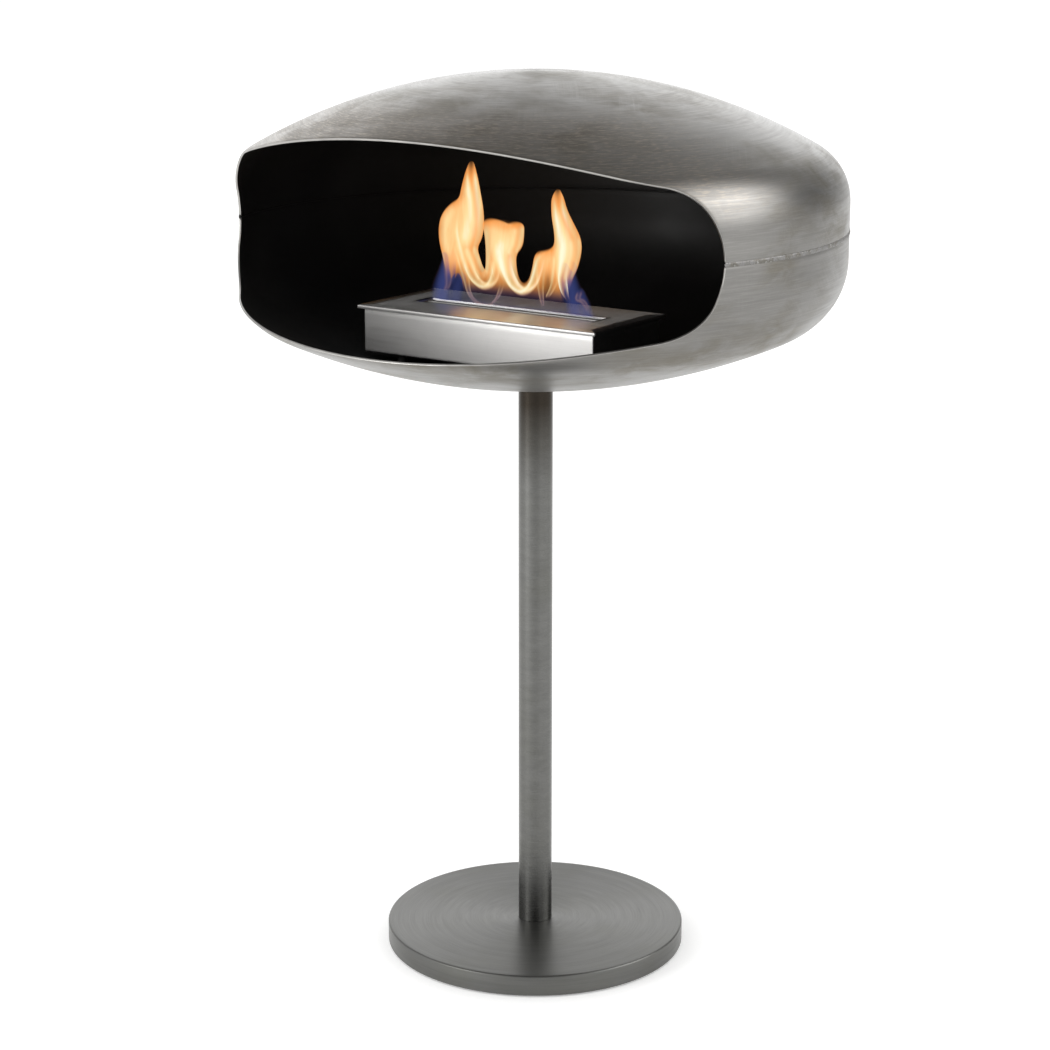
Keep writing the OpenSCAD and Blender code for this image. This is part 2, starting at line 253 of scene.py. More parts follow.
def turned_place(tree, around, outwards, upwards):
    """Coordinates for tool marks on a turned face: slow round the axis, fast outwards and upwards."""
    x, y, z = parts_of(tree, place_of(tree))
    squared = calc(tree, "ADD", calc(tree, "MULTIPLY", x, x), calc(tree, "MULTIPLY", y, y))
    radius = calc(tree, "MAXIMUM", calc(tree, "SQRT", squared), 0.0005)
    across = calc(tree, "ADD", calc(tree, "MULTIPLY", radius, outwards), calc(tree, "MULTIPLY", z, upwards))
    round_x, round_y = (calc(tree, "MULTIPLY", calc(tree, "DIVIDE", part, radius), around) for part in (x, y))
    return combined(tree, round_x, round_y, across)


def bump(tree, shader, height, strength, distance):
    made = node(tree, "ShaderNodeBump", named={"Strength": strength, "Distance": distance, "Height": height})
    put(tree, made, shader.inputs["Normal"])


# ---------------------------------------------------------------- materials

# Middles of the arcs that a hand with sandpaper has swept over the pod.
SANDED_ROUND = ((0.62, -0.20, 1.02), (0.20, -0.52, 1.30), (-0.45, -0.38, 0.72), (0.10, 0.75, 1.10))


def spun_steel(name, steel, smudge, wall_sign):
    """Raw spun steel: marks of the spinning tool, hand-sanded arcs, dull smudges and a brow tinted brown by
    heat.
    """
    made, tree, shader = start_material(name, Metallic=1.0, Anisotropic=0.45, Anisotropic_Rotation=0.25)
    fine = turned_place(tree, 9.0, 1000.0, 1000.0 * wall_sign)
    middling = turned_place(tree, 3.5, 260.0, 260.0 * wall_sign)
    broad = turned_place(tree, 1.4, 46.0, 46.0 * wall_sign)
    marks = noise(tree, fine, 1.0, 4.0, 0.7)
    rings = noise(tree, middling, 1.0, 4.0, 0.6)
    bands = noise(tree, broad, 1.0, 3.0, 0.5)
    cloud = noise(tree, place_of(tree, scale=(1.0, 1.0, 1.5)), 5.0, 4.0, 0.55, 0.6)
    blots = noise(tree, place_of(tree, scale=(1.0, 1.0, 2.4)), 15.0, 5.0, 0.62, 0.5)
    arcs = None
    for k, centre in enumerate(SANDED_ROUND):
        place = place_of(tree, centre=centre)
        reach = vector(tree, "LENGTH", place, out=1)
        along = combined(tree, calc(tree, "MULTIPLY", reach, 760.0),
                     calc(tree, "MULTIPLY", parts_of(tree, place)[2], 34.0), float(k) * 3.7)
        streak = spread(tree, noise(tree, along, 1.0, 2.0, 0.5), 0.48, 0.78)
        patch = spread(tree, noise(tree, place, 7.0 + 2 * k, 3.0, 0.5), 0.50, 0.66)
        mark = calc(tree, "MULTIPLY", streak, patch)
        arcs = mark if arcs is None else calc(tree, "MAXIMUM", arcs, mark)
    dull = spread(tree, cloud, 0.38, 0.60)
    spots = calc(tree, "MULTIPLY", dull, spread(tree, blots, 0.37, 0.57))
    across, front, height = parts_of(tree, place_of(tree))
    brow = calc(tree, "MULTIPLY", spread(tree, front, -0.02, -0.16),
                spread(tree, height, SEAM_HEIGHT + 0.186, SEAM_HEIGHT + 0.160))
    brow = calc(tree, "MULTIPLY", brow, spread(tree, height, SEAM_HEIGHT + 0.045, SEAM_HEIGHT + 0.105))
    base = blend(tree, spots, steel, smudge)
    base = blend(tree, spread(tree, bands, 0.35, 0.7, 0.0, 0.32), base, toned(steel, 0.70))
    tinted = calc(tree, "MULTIPLY", brow, spread(tree, rings, 0.35, 0.62, 0.35, 0.9))
    base = blend(tree, calc(tree, "MULTIPLY", tinted, spread(tree, across, 0.12, 0.30, 1.0, 0.45)), base,
                 toned(steel, 0.66, 0.57, 0.48))
    short = turned_place(tree, 26.0, 430.0, 430.0 * wall_sign)
    strokes = spread(tree, noise(tree, short, 1.0, 3.0, 0.6), 0.50, 0.66, 0.0, 0.75)
    base = blend(tree, calc(tree, "MULTIPLY", brow, strokes), base,
                 toned(steel, 1.55, 1.38, 1.16))
    base = blend(tree, calc(tree, "MULTIPLY", arcs, 0.12), base, toned(steel, 1.5))
    base = blend(tree, spread(tree, rings, 0.32, 0.68, 0.0, 0.30), base, toned(steel, 0.62))
    base = blend(tree, spread(tree, marks, 0.48, 0.74, 0.0, 0.30), base, toned(steel, 1.7))
    put(tree, base, shader.inputs["Base Color"])
    rough = calc(tree, "ADD", spread(tree, rings, 0.25, 0.75, 0.29, 0.39), calc(tree, "MULTIPLY", spots, 0.09))
    put(tree, calc(tree, "SUBTRACT", rough, calc(tree, "MULTIPLY", arcs, 0.04)), shader.inputs["Roughness"])
    put(tree, round_the_axis(tree), shader.inputs["Tangent"])
    bump(tree, shader, calc(tree, "ADD", marks, calc(tree, "MULTIPLY", arcs, 0.6)), 0.16, 0.00018)
    return made


def cut_edge(name, steel):
    """Edge that was cut and rubbed bright with a file."""
    made, tree, shader = start_material(name, Metallic=1.0)
    file_marks = noise(tree, place_of(tree, scale=(1.0, 3.0, 1.0)), 900.0, 3.0, 0.6)
    wear = noise(tree, place_of(tree), 40.0, 3.0, 0.5)
    bright = toned(steel, 2.1)
    put(tree, blend(tree, spread(tree, wear, 0.3, 0.7), bright, toned(steel, 1.6)), shader.inputs["Base Color"])
    put(tree, spread(tree, file_marks, 0.2, 0.8, 0.26, 0.46), shader.inputs["Roughness"])
    bump(tree, shader, file_marks, 0.25, 0.0001)
    return made


def stove_paint(name, paint):
    """Matt heat-proof paint, browner above the seam: a painted warm glow of the fire."""
    made, tree, shader = start_material(name, Metallic=0.0, Specular_IOR_Level=0.35)
    grain = noise(tree, place_of(tree), 1400.0, 2.0, 0.6)
    bloom = noise(tree, place_of(tree), 7.0, 4.0, 0.6)
    height = parts_of(tree, place_of(tree))[2]
    # Painted warm glow of the fire: browner from just below the seam upwards, in patches.
    heat = calc(tree, "MULTIPLY", spread(tree, height, SEAM_HEIGHT - 0.02, SEAM_HEIGHT + 0.16),
                spread(tree, bloom, 0.3, 0.7))
    base = blend(tree, heat, paint, (0.021, 0.014, 0.010))
    put(tree, blend(tree, spread(tree, bloom, 0.45, 0.8), base, toned(paint, 1.7)), shader.inputs["Base Color"])
    put(tree, spread(tree, bloom, 0.3, 0.75, 0.46, 0.62), shader.inputs["Roughness"])
    bump(tree, shader, grain, 0.35, 0.00012)
    return made


def weld_metal(name):
    """Weld bead: dull grey ripples with a few brighter ones."""
    made, tree, shader = start_material(name, Metallic=1.0)
    patch = noise(tree, place_of(tree), 42.0, 4.0, 0.6)
    grit = noise(tree, place_of(tree), 1600.0, 3.0, 0.7)
    tint = ramp(tree, patch, (0.30, (0.19, 0.185, 0.17)), (0.48, (0.25, 0.245, 0.24)),
                (0.58, (0.16, 0.15, 0.13)), (0.66, (0.42, 0.42, 0.41)), (0.76, (0.15, 0.148, 0.15)))
    put(tree, tint, shader.inputs["Base Color"])
    put(tree, spread(tree, grit, 0.2, 0.8, 0.34, 0.52), shader.inputs["Roughness"])
    bump(tree, shader, grit, 0.4, 0.0002)
    return made


def turned_steel(name, steel, around, outwards, upwards, rough=(0.26, 0.40), anisotropy=0.72, painted_shade_from=None):
    """Steel with lathe marks or a brush finish round it. Given a start height, the colour darkens to near
    black-brown above it: painted shade.
    """
    made, tree, shader = start_material(name, Metallic=1.0, Anisotropic=anisotropy, Anisotropic_Rotation=0.25)
    fine = turned_place(tree, around, outwards, upwards)
    broad = turned_place(tree, around * 0.7, outwards * 0.09, upwards * 0.09)
    marks = noise(tree, fine, 1.0, 4.0, 0.65)
    bands = noise(tree, broad, 1.0, 3.0, 0.5)
    cloud = noise(tree, place_of(tree), 16.0, 3.0, 0.55)
    base = blend(tree, spread(tree, marks, 0.3, 0.72, 0.0, 0.45), steel, toned(steel, 0.68))
    base = blend(tree, spread(tree, bands, 0.35, 0.7, 0.0, 0.35), base, toned(steel, 1.3))
    base = blend(tree, spread(tree, cloud, 0.45, 0.75, 0.0, 0.3), base, toned(steel, 0.8, 0.8, 0.7))
    if painted_shade_from:
        # Painted shade: from this height up the colour darkens to near black-brown, as where the pod above
        # shades the pole.
        tint = spread(tree, parts_of(tree, place_of(tree))[2], painted_shade_from, painted_shade_from + 0.12, 0.0, 0.95)
        base = blend(tree, tint, base, (0.030, 0.024, 0.018))
    put(tree, base, shader.inputs["Base Color"])
    put(tree, spread(tree, marks, 0.25, 0.75, *rough), shader.inputs["Roughness"])
    put(tree, round_the_axis(tree), shader.inputs["Tangent"])
    bump(tree, shader, marks, 0.16, 0.00012)
    return made


def brushed_sheet(name, steel, rough=(0.32, 0.44)):
    """Sheet steel brushed lengthwise, with faint finger marks."""
    made, tree, shader = start_material(name, Metallic=1.0, Anisotropic=0.8, Anisotropic_Rotation=0.25)
    brush = noise(tree, place_of(tree, scale=(14.0, 1500.0, 1500.0)), 1.0, 4.0, 0.65)
    long = noise(tree, place_of(tree, scale=(5.0, 160.0, 160.0)), 1.0, 3.0, 0.5)
    prints = noise(tree, place_of(tree), 26.0, 4.0, 0.6, 0.5)
    base = blend(tree, spread(tree, brush, 0.3, 0.7, 0.0, 0.3), steel, toned(steel, 0.84))
    base = blend(tree, spread(tree, long, 0.4, 0.7, 0.0, 0.3), base, toned(steel, 1.12))
    put(tree, blend(tree, spread(tree, prints, 0.55, 0.8, 0.0, 0.3), base, toned(steel, 0.8)),
        shader.inputs["Base Color"])
    brushed, greasy = spread(tree, brush, 0.25, 0.75, *rough), spread(tree, prints, 0.5, 0.8, 0.0, 0.07)
    put(tree, calc(tree, "ADD", brushed, greasy), shader.inputs["Roughness"])
    facing = node(tree, "ShaderNodeTexCoord", out=1)
    across = vector(tree, "CROSS_PRODUCT", facing, (0.0, 0.0, 1.0))
    put(tree, world_direction(tree, vector(tree, "ADD", across, (0.02, 0.0, 0.0))), shader.inputs["Tangent"])
    bump(tree, shader, brush, 0.08, 0.0001)
    return made


def small_metal(name, shade, dark, rough, scale=900.0, metallic=1.0):
    """Machined or formed small parts: even grain, dull recesses, worn spots."""
    made, tree, shader = start_material(name, Metallic=metallic)
    grain = noise(tree, place_of(tree), scale, 3.0, 0.65)
    wear = noise(tree, place_of(tree), scale / 14.0, 4.0, 0.6)
    put(tree, blend(tree, spread(tree, wear, 0.38, 0.68), shade, dark), shader.inputs["Base Color"])
    put(tree, spread(tree, grain, 0.25, 0.75, *rough), shader.inputs["Roughness"])
    bump(tree, shader, grain, 0.3, 0.00015)
    return made


def fibre_wool(name):
    """Ceramic wool: pale strands with some soot on them."""
    made, tree, shader = start_material(name, Metallic=0.0, Roughness=0.95, Specular_IOR_Level=0.1)
    strands = noise(tree, place_of(tree, scale=(1.0, 2.2, 1.6)), 420.0, 5.0, 0.7, 1.5)
    soot = noise(tree, place_of(tree), 14.0, 4.0, 0.6)
    base = blend(tree, spread(tree, strands, 0.3, 0.7), (0.62, 0.59, 0.52), (0.86, 0.84, 0.78))
    put(tree, blend(tree, spread(tree, soot, 0.48, 0.75, 0.0, 0.6), base, (0.16, 0.14, 0.12)),
        shader.inputs["Base Color"])
    bump(tree, shader, strands, 0.7, 0.0008)
    return made


def floor_pad(name):
    """Dull black rubber with dust on it."""
    made, tree, shader = start_material(name, Metallic=0.0, Specular_IOR_Level=0.3)
    grain = noise(tree, place_of(tree), 1100.0, 3.0, 0.7)
    dust = noise(tree, place_of(tree), 30.0, 4.0, 0.6)
    put(tree, blend(tree, spread(tree, dust, 0.4, 0.75), (0.018, 0.018, 0.018), (0.05, 0.048, 0.045)),
        shader.inputs["Base Color"])
    put(tree, spread(tree, grain, 0.3, 0.7, 0.62, 0.85), shader.inputs["Roughness"])
    bump(tree, shader, grain, 0.4, 0.0003)
    return made


def flame_glow(name, burner):
    """Fire: the warmth attribute sets the colour, the veil attribute how much shows through."""
    made, tree, shader = start_material(name, Metallic=0.0, Roughness=1.0, Specular_IOR_Level=0.0,
                                        Base_Color=(0.0, 0.0, 0.0))
    heat = node(tree, "ShaderNodeAttribute", out=2, attribute_name="warmth")
    veil = node(tree, "ShaderNodeAttribute", out=2, attribute_name="veil")
    foot = node(tree, "ShaderNodeAttribute", out=2, attribute_name="foot")
    streaks = noise(tree, place_of(tree, scale=(80.0, 20.0, 20.0)), 1.0, 2.0, 0.5, 0.8)
    warm = calc(tree, "ADD", heat, spread(tree, streaks, 0.35, 0.65, -0.05, 0.05))
    edge, core = tuple(burner.flame_edge), tuple(burner.flame_core)
    middle = tuple((a + b) / 2 for a, b in zip(edge, core))
    glow = ramp(tree, warm, (0.0, toned(edge, 0.5)), (0.24, edge), (0.52, middle), (0.80, core),
                (1.0, (1.0, 0.92, 0.66)))
    glow = blend(tree, foot, glow, tuple(burner.flame_foot))
    put(tree, glow, shader.inputs["Emission Color"])
    shader.inputs["Emission Strength"].default_value = burner.flame_power
    put(tree, calc(tree, "MULTIPLY", veil, spread(tree, streaks, 0.3, 0.7, 0.86, 1.0), clamp=True),
        shader.inputs["Alpha"])
    return made


def studio_floor(name, shade):
    """White paper that glows a little, so that it stays bright far from the lights."""
    made, tree, shader = start_material(name, Metallic=0.0, Roughness=0.9, Specular_IOR_Level=0.15)
    cloud = noise(tree, place_of(tree), 1.3, 3.0, 0.5)
    base = blend(tree, spread(tree, cloud, 0.3, 0.7), shade, toned(shade, 0.985))
    put(tree, base, shader.inputs["Base Color"])
    shader.inputs["Emission Color"].default_value = (1.0, 1.0, 1.0, 1.0)
    shader.inputs["Emission Strength"].default_value = 0.28
    return made


FINISHES = {}


def make_finishes():
    """Makes every material once, from the settings."""
    scene = bpy.context.scene
    pod, stand, burner = scene.fire_pod, scene.fire_stand, scene.fire_burner
    steel, plate = tuple(stand.steel), tuple(burner.steel)
    FINISHES.update(
        pod_upper=spun_steel("pod_steel_upper", toned(pod.steel, 0.93), tuple(pod.smudge), -1.0),
        # The lower shell takes a darker copy of the pod steel than the upper shell: painted shade on the
        # underside.
        pod_lower=spun_steel("pod_steel_lower_painted_shade", toned(pod.steel, 0.86), tuple(pod.smudge), 1.0),
        lip=cut_edge("cut_edge", toned(pod.steel, 0.82)),
        paint=stove_paint("stove_paint", tuple(pod.paint)),
        weld=weld_metal("weld_metal"),
        disc=turned_steel("turned_disc", toned(steel, 0.64), 2.2, 1400.0, 1400.0, (0.34, 0.48), 0.5),
        # The pole darkens over its top, just under the pod: painted shade of the pod.
        pole=turned_steel("brushed_pole", toned(steel, 0.68), 1.3, 0.0, 1100.0, (0.24, 0.34), 0.6,
                          POLE_HIGH.z - 0.15),
        sheet=brushed_sheet("brushed_sheet", plate),
        # The top of the plate takes a lighter copy of the burner steel than the rest of the sheet: painted
        # light.
        plate_top=brushed_sheet("brushed_plate_painted_light", toned(plate, 1.3), (0.30, 0.40)),
        slider=brushed_sheet("brushed_slider", toned(plate, 0.55)),
        reservoir=small_metal("drawn_steel", (0.50, 0.49, 0.47), (0.36, 0.35, 0.33), (0.24, 0.40)),
        wire=small_metal("mesh_wire", (0.34, 0.31, 0.28), (0.16, 0.13, 0.12), (0.35, 0.55), 1500.0),
        bolt=small_metal("zinc_bolt", (0.56, 0.56, 0.54), (0.40, 0.40, 0.37), (0.25, 0.42)),
        spring=small_metal("spring_steel", (0.20, 0.20, 0.21), (0.12, 0.12, 0.13), (0.28, 0.45)),
        bronze=small_metal("bearing_bronze", (0.50, 0.30, 0.12), (0.30, 0.17, 0.07), (0.30, 0.48), 1200.0),
        black=small_metal("black_paint", (0.016, 0.016, 0.016), (0.028, 0.026, 0.025), (0.42, 0.60), 1300.0,
                          metallic=0.0),
        fibre=fibre_wool("ceramic_wool"),
        pad=floor_pad("pad_rubber"),
        flame=flame_glow("flame_glow", burner),
    )


def finish(name):
    if not FINISHES:
        make_finishes()
    return FINISHES[name]


# ---------------------------------------------------------------- mesh helpers

def in_scene(name, data):
    """An object with this data, linked to the scene."""
    made = bpy.data.objects.new(name, data)
    bpy.context.scene.collection.objects.link(made)
    return made


def new_piece(name, vertices, faces, finishes, face_finish=None, sharp=35.0, recalc=True):
    """Makes a mesh object at the origin, faces outwards, with its smooth and sharp edges marked."""
    mesh = bpy.data.meshes.new(name)
    mesh.from_pydata([tuple(map(float, v)) for v in vertices], [], [tuple(map(int, f)) for f in faces])
    for key in finishes:
        mesh.materials.append(finish(key))
    if face_finish is not None:
        mesh.polygons.foreach_set("material_index", np.asarray(face_finish, dtype=np.int32))
    if recalc:
        shape = bmesh.new()
        shape.from_mesh(mesh)
        bmesh.ops.recalc_face_normals(shape, faces=shape.faces)
        shape.to_mesh(mesh)
        shape.free()
    mesh.polygons.foreach_set("use_smooth", [True] * len(mesh.polygons))
    mesh.set_sharp_from_angle(angle=math.radians(sharp))
    mesh.update()
    return in_scene(name, mesh)


def settle(piece, body, slot, *nodes):
    """Puts a piece on its body, in place of the CAD nodes that it remakes. Its material slot is not used."""
    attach(piece, body)
    if nodes:
        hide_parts(*nodes)
    return piece


def dress(node_name, key):
    """Gives a CAD node its material."""
    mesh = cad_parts[node_name].data
    if not mesh.materials:
        mesh.materials.append(finish(key))
    for i in range(len(mesh.materials)):
        mesh.materials[i] = finish(key)


def lathe(profile, steps):
    """Turns a closed profile of (radius, height) round the upright axis. A point at radius zero is a pole."""
    vertices, rows = [], []
    for radius, height in profile:
        if radius < 1e-9:
            rows.append([len(vertices)] * steps)
            vertices.append((0.0, 0.0, height))
            continue
        rows.append(list(range(len(vertices), len(vertices) + steps)))
        turn = np.arange(steps) * 2 * math.pi / steps
        vertices += [(radius * math.cos(a), radius * math.sin(a), height) for a in turn]
    faces = []
    for k in range(len(rows)):
        low, high = rows[k], rows[(k + 1) % len(rows)]
        for i in range(steps):
            ring = [low[i], low[(i + 1) % steps], high[(i + 1) % steps], high[i]]
            face = [v for n, v in enumerate(ring) if v != ring[n - 1]]
            if len(set(face)) >= 3:
                faces.append(face)
    return vertices, faces


def quarter(centre, radius, start, end, steps=5):
    """Points on an arc in the (radius, height) plane, angles in degrees."""
    return [(centre[0] + radius * math.cos(math.radians(start + (end - start) * i / steps)),
             centre[1] + radius * math.sin(math.radians(start + (end - start) * i / steps)))
            for i in range(steps + 1)]


def rounded_rectangle(half_x, half_y, corner, height, centre_y, steps=4):
    """One ring of a rounded box."""
    ring = []
    for sx, sy, start in ((1, 1, 0), (-1, 1, 90), (-1, -1, 180), (1, -1, 270)):
        for i in range(steps + 1):
            angle = math.radians(start + 90 * i / steps)
            ring.append((sx * (half_x - corner) + corner * math.cos(angle),
                         centre_y + sy * (half_y - corner) + corner * math.sin(angle), height))
    return ring


def loft(rings, closed):
    """Joins rings of equal length. Closed joins the last to the first, otherwise both ends get a cap."""
    count = len(rings[0])
    vertices = [v for ring in rings for v in ring]
    faces = []
    for k in range(len(rings) if closed else len(rings) - 1):
        low, high = k * count, ((k + 1) % len(rings)) * count
        faces += [(low + i, low + (i + 1) % count, high + (i + 1) % count, high + i) for i in range(count)]
    if not closed:
        faces += [tuple(range(count)), tuple(range(len(vertices) - count, len(vertices)))]
    return vertices, faces


def evaluated(carrier, name):
    """Applies the modifiers of a carrier object and gives back a plain mesh object."""
    depsgraph = bpy.context.evaluated_depsgraph_get()
    mesh = bpy.data.meshes.new_from_object(carrier.evaluated_get(depsgraph))
    carrier.modifiers.clear()
    bpy.data.objects.remove(carrier)
    mesh.name = name
    return in_scene(name, mesh)


# ---------------------------------------------------------------- the pod

class Dish:
    """Dished end, measured from its rim: a crown arc, a shoulder arc and a straight wall."""

    def __init__(self, radius, crown, knuckle, flange, root):
        self.radius, self.crown, self.knuckle, self.flange = radius, crown, knuckle, flange
        self.turn = math.asin((radius - knuckle) / (crown - knuckle))
        self.height = crown - math.sqrt((crown - knuckle) ** 2 - (radius - knuckle) ** 2) + flange
        self.at_knuckle = crown * self.turn
        self.at_wall = self.at_knuckle + knuckle * (math.pi / 2 - self.turn)
        self.at_rim = self.at_wall + flange - root

    def profile(self, run):
        """Radius and height at a distance from the crown, measured along the steel."""
        crown_turn = np.minimum(run, self.at_knuckle) / self.crown
        in_knuckle = np.clip(run, self.at_knuckle, self.at_wall) - self.at_knuckle
        knuckle_turn = self.turn + in_knuckle / self.knuckle
        on_crown, on_knuckle = run <= self.at_knuckle, run <= self.at_wall
        radius = np.where(on_crown, self.crown * np.sin(crown_turn), np.where(
            on_knuckle, self.radius - self.knuckle + self.knuckle * np.sin(knuckle_turn), self.radius))
        height = np.where(on_crown, self.height - self.crown + self.crown * np.cos(crown_turn), np.where(
            on_knuckle, self.flange + self.knuckle * np.cos(knuckle_turn), self.flange - (run - self.at_wall)))
        return radius, height

    def run_to(self, height):
        """Distance from the crown to a height, measured along the steel."""
        top_of_knuckle = self.flange + self.knuckle * math.cos(self.turn)
        in_knuckle = np.arccos(np.clip((height - self.flange) / self.knuckle, -1, 1))
        in_crown = np.arccos(np.clip((height - self.height + self.crown) / self.crown, -1, 1))
        on_knuckle = self.at_knuckle + self.knuckle * (in_knuckle - self.turn)
        return np.where(height <= self.flange, self.at_wall + self.flange - height,
                        np.where(height <= top_of_knuckle, on_knuckle, self.crown * in_crown))

    def flat(self, run, angle):
        """The steel unrolled from its crown onto a plane."""
        return np.stack([run * np.sin(angle), -run * np.cos(angle)], axis=-1)

    def folded(self, flat):
        """Back from the plane onto the dish."""
        run = np.linalg.norm(flat, axis=-1)
        radius, height = self.profile(run)
        away = np.maximum(run, 1e-12)
        return np.stack([radius * flat[..., 0] / away, radius * flat[..., 1] / away, height], axis=-1)


def corner_centre(long_c, long_r, end_c, end_r, corner):
    """Centre of the corner arc that touches the long arc and the end arc of the mouth."""
    a, b, d = long_r - corner, end_r - corner, math.hypot(end_c, long_c)
    along = (a * a - b * b + d * d) / (2 * d)
    off = math.sqrt(a * a - along * along)
    ux, uz = end_c / d, -long_c / d
    return along * ux + off * uz, long_c + along * uz - off * ux


def mouth_half(half_width, height, sweep, sweep_end, corner, root, spacing):
    """Half of the mouth's edge, from the right end near the seam to the middle of the long edge."""
    long_c, end_c = height - sweep, half_width - sweep_end
    cx, cz = corner_centre(long_c, sweep, end_c, sweep_end, corner)
    turn, tilt = math.atan2(cz - long_c, cx), math.atan2(cz, cx - end_c)
    points = []
    arcs = (((end_c, 0.0), sweep_end, math.asin(root / sweep_end), tilt),
            ((cx, cz), corner, tilt, turn),
            ((0.0, long_c), sweep, turn, math.pi / 2))
    for (mx, mz), radius, start, end in arcs:
        fine = spacing * (1.0 if radius == sweep else 0.45)
        steps = max(4, int(abs(end - start) * radius / fine))
        for i in range(steps):
            angle = start + (end - start) * i / steps
            points.append((mx + radius * math.cos(angle), mz + radius * math.sin(angle)))
    return points + [(0.0, height)]


def shell(name, dish, edge_xz, wall, seam, sign, edge, finishes, rows=74, seam_steps=280):
    """One half of the pod: outside, inside and a rounded cut edge, all on the true surfaces."""
    inner = Dish(dish.radius - wall, dish.crown - wall, dish.knuckle - wall, dish.flange, WELD_ROOT)
    edge_xz = np.array(edge_xz)
    run = dish.run_to(edge_xz[:, 1])
    angle = np.arcsin(edge_xz[:, 0] / dish.profile(run)[0])
    back = np.linspace(angle[-1], angle[0] - 2 * math.pi, seam_steps + 2)[1:-1]
    run = np.concatenate([run, np.full(seam_steps, dish.at_rim)])
    angle = np.concatenate([angle, back])

    def loop(surface):
        """Edge of the half on one surface. The edge is cut square to the steel."""
        return surface.flat(np.interp(run, (0, dish.at_knuckle, dish.at_wall, dish.at_rim),
                                      (0, surface.at_knuckle, surface.at_wall, surface.at_rim)), angle)

    middle = np.array([0.0, 0.06])
    grids, tips, counts = [], [], []
    for surface, count in ((dish, rows), (inner, rows - 18)):
        rim = loop(surface)
        inset = 1 - edge / np.linalg.norm(rim - middle, axis=1)
        share = (np.arange(1, count + 1) / count)[:, None, None] * inset[None, :, None]
        grids.append(surface.folded(middle + (rim - middle) * share))
        tips.append((surface.folded(rim), surface.folded(middle[None, :])[0]))
        counts.append(count)
    columns = grids[0].shape[1]

    def lip_rows():
        (outer_tip, _), (inner_tip, _) = tips
        through = inner_tip - outer_tip
        through /= np.linalg.norm(through, axis=1)[:, None]
        out_near, in_near = outer_tip + through * edge, inner_tip - through * edge
        out_mid = grids[0][-1] * 0.25 + outer_tip * 0.5 + out_near * 0.25
        in_mid = grids[1][-1] * 0.25 + inner_tip * 0.5 + in_near * 0.25
        return [out_mid, out_near, in_near, in_mid]

    rings = list(grids[0]) + lip_rows() + list(grids[1][::-1])
    vertices = np.concatenate([np.stack(rings).reshape(-1, 3), tips[0][1][None], tips[1][1][None]])
    vertices[:, 2] = seam + sign * vertices[:, 2]
    first, last = len(vertices) - 2, len(vertices) - 1
    ring = np.arange(columns)
    after = (ring + 1) % columns
    faces, kinds = [], []
    for k in range(len(rings) - 1):
        kind = 0 if k < counts[0] - 1 else 1 if k < counts[0] + 4 else 2
        on_seam = 2 if kind == 1 else kind
        faces += np.stack([k * columns + ring, k * columns + after,
                           (k + 1) * columns + after, (k + 1) * columns + ring], axis=1).tolist()
        kinds += [kind] * (len(edge_xz) - 1) + [on_seam] * (columns - len(edge_xz) + 1)
    end = (len(rings) - 1) * columns
    faces += [[int(a), int(b), first] for a, b in zip(ring, after)]
    faces += [[int(end + b), int(end + a), last] for a, b in zip(ring, after)]
    kinds += [0] * columns + [2] * columns
    return new_piece(name, vertices, faces, finishes, kinds, sharp=40.0)


def mouth_edge(pod, upper):
    """The whole upper or lower edge of the mouth, from the right end to the left end."""
    height, sweep, corner = ((pod.mouth_top, pod.sweep_top, pod.corner_top) if upper else
                             (pod.mouth_bottom, pod.sweep_bottom, pod.corner_bottom))
    half = mouth_half(pod.mouth_half_width, height, sweep, pod.sweep_end, corner, WELD_ROOT, 0.0036)
    half = [(x + NOTCH_DEPTH * pod.notch * max(0.0, 1 - (z - WELD_ROOT) / pod.notch) ** 2, z) for x, z in half]
    return half + [(-x, z) for x, z in half[-2::-1]]


class FIRE_OT_upper_shell(bpy.types.Operator):
    """Make the upper half of the spun pod"""
    bl_idname = "fire.upper_shell"
    bl_label = "Upper shell"

    def execute(self, context):
        pod = context.scene.fire_pod
        dish = Dish(pod.radius, pod.crown_upper, pod.knuckle_upper, pod.flange_upper, WELD_ROOT)
        piece = shell("upper_shell_skin", dish, mouth_edge(pod, True), pod.wall, pod.seam_height, 1.0,
                      pod.edge, ("pod_upper", "lip", "paint"))
        settle(piece, "pod", "pod_steel", "upper_shell")
        return {"FINISHED"}


class FIRE_OT_lower_shell(bpy.types.Operator):
    """Make the lower half of the spun pod"""
    bl_idname = "fire.lower_shell"
    bl_label = "Lower shell"

    def execute(self, context):
        pod = context.scene.fire_pod
        dish = Dish(pod.radius, pod.crown_lower, pod.knuckle_lower, pod.flange_lower, WELD_ROOT)
        piece = shell("lower_shell_skin", dish, mouth_edge(pod, False), pod.wall, pod.seam_height, -1.0,
                      pod.edge, ("pod_lower", "lip", "paint"))
        settle(piece, "pod", "pod_steel", "lower_shell")
        return {"FINISHED"}


def start_tree(name, numbers, seeds=(), finishes=()):
    """A Geometry Nodes tree with named inputs, the identifiers of the inputs and their values in the tree."""
    tree = bpy.data.node_groups.new(name, "GeometryNodeTree")
    sockets = {}
    for kind, labels in (("Float", numbers), ("Int", seeds), ("Material", finishes)):
        for label in labels:
            socket = tree.interface.new_socket(label, in_out="INPUT", socket_type="NodeSocket" + kind)
            sockets[label] = socket.identifier
    tree.interface.new_socket("Geometry", in_out="OUTPUT", socket_type="NodeSocketGeometry")
    given = tree.nodes.new("NodeGroupInput")
    return tree, sockets, {label: given.outputs[label] for label in sockets}


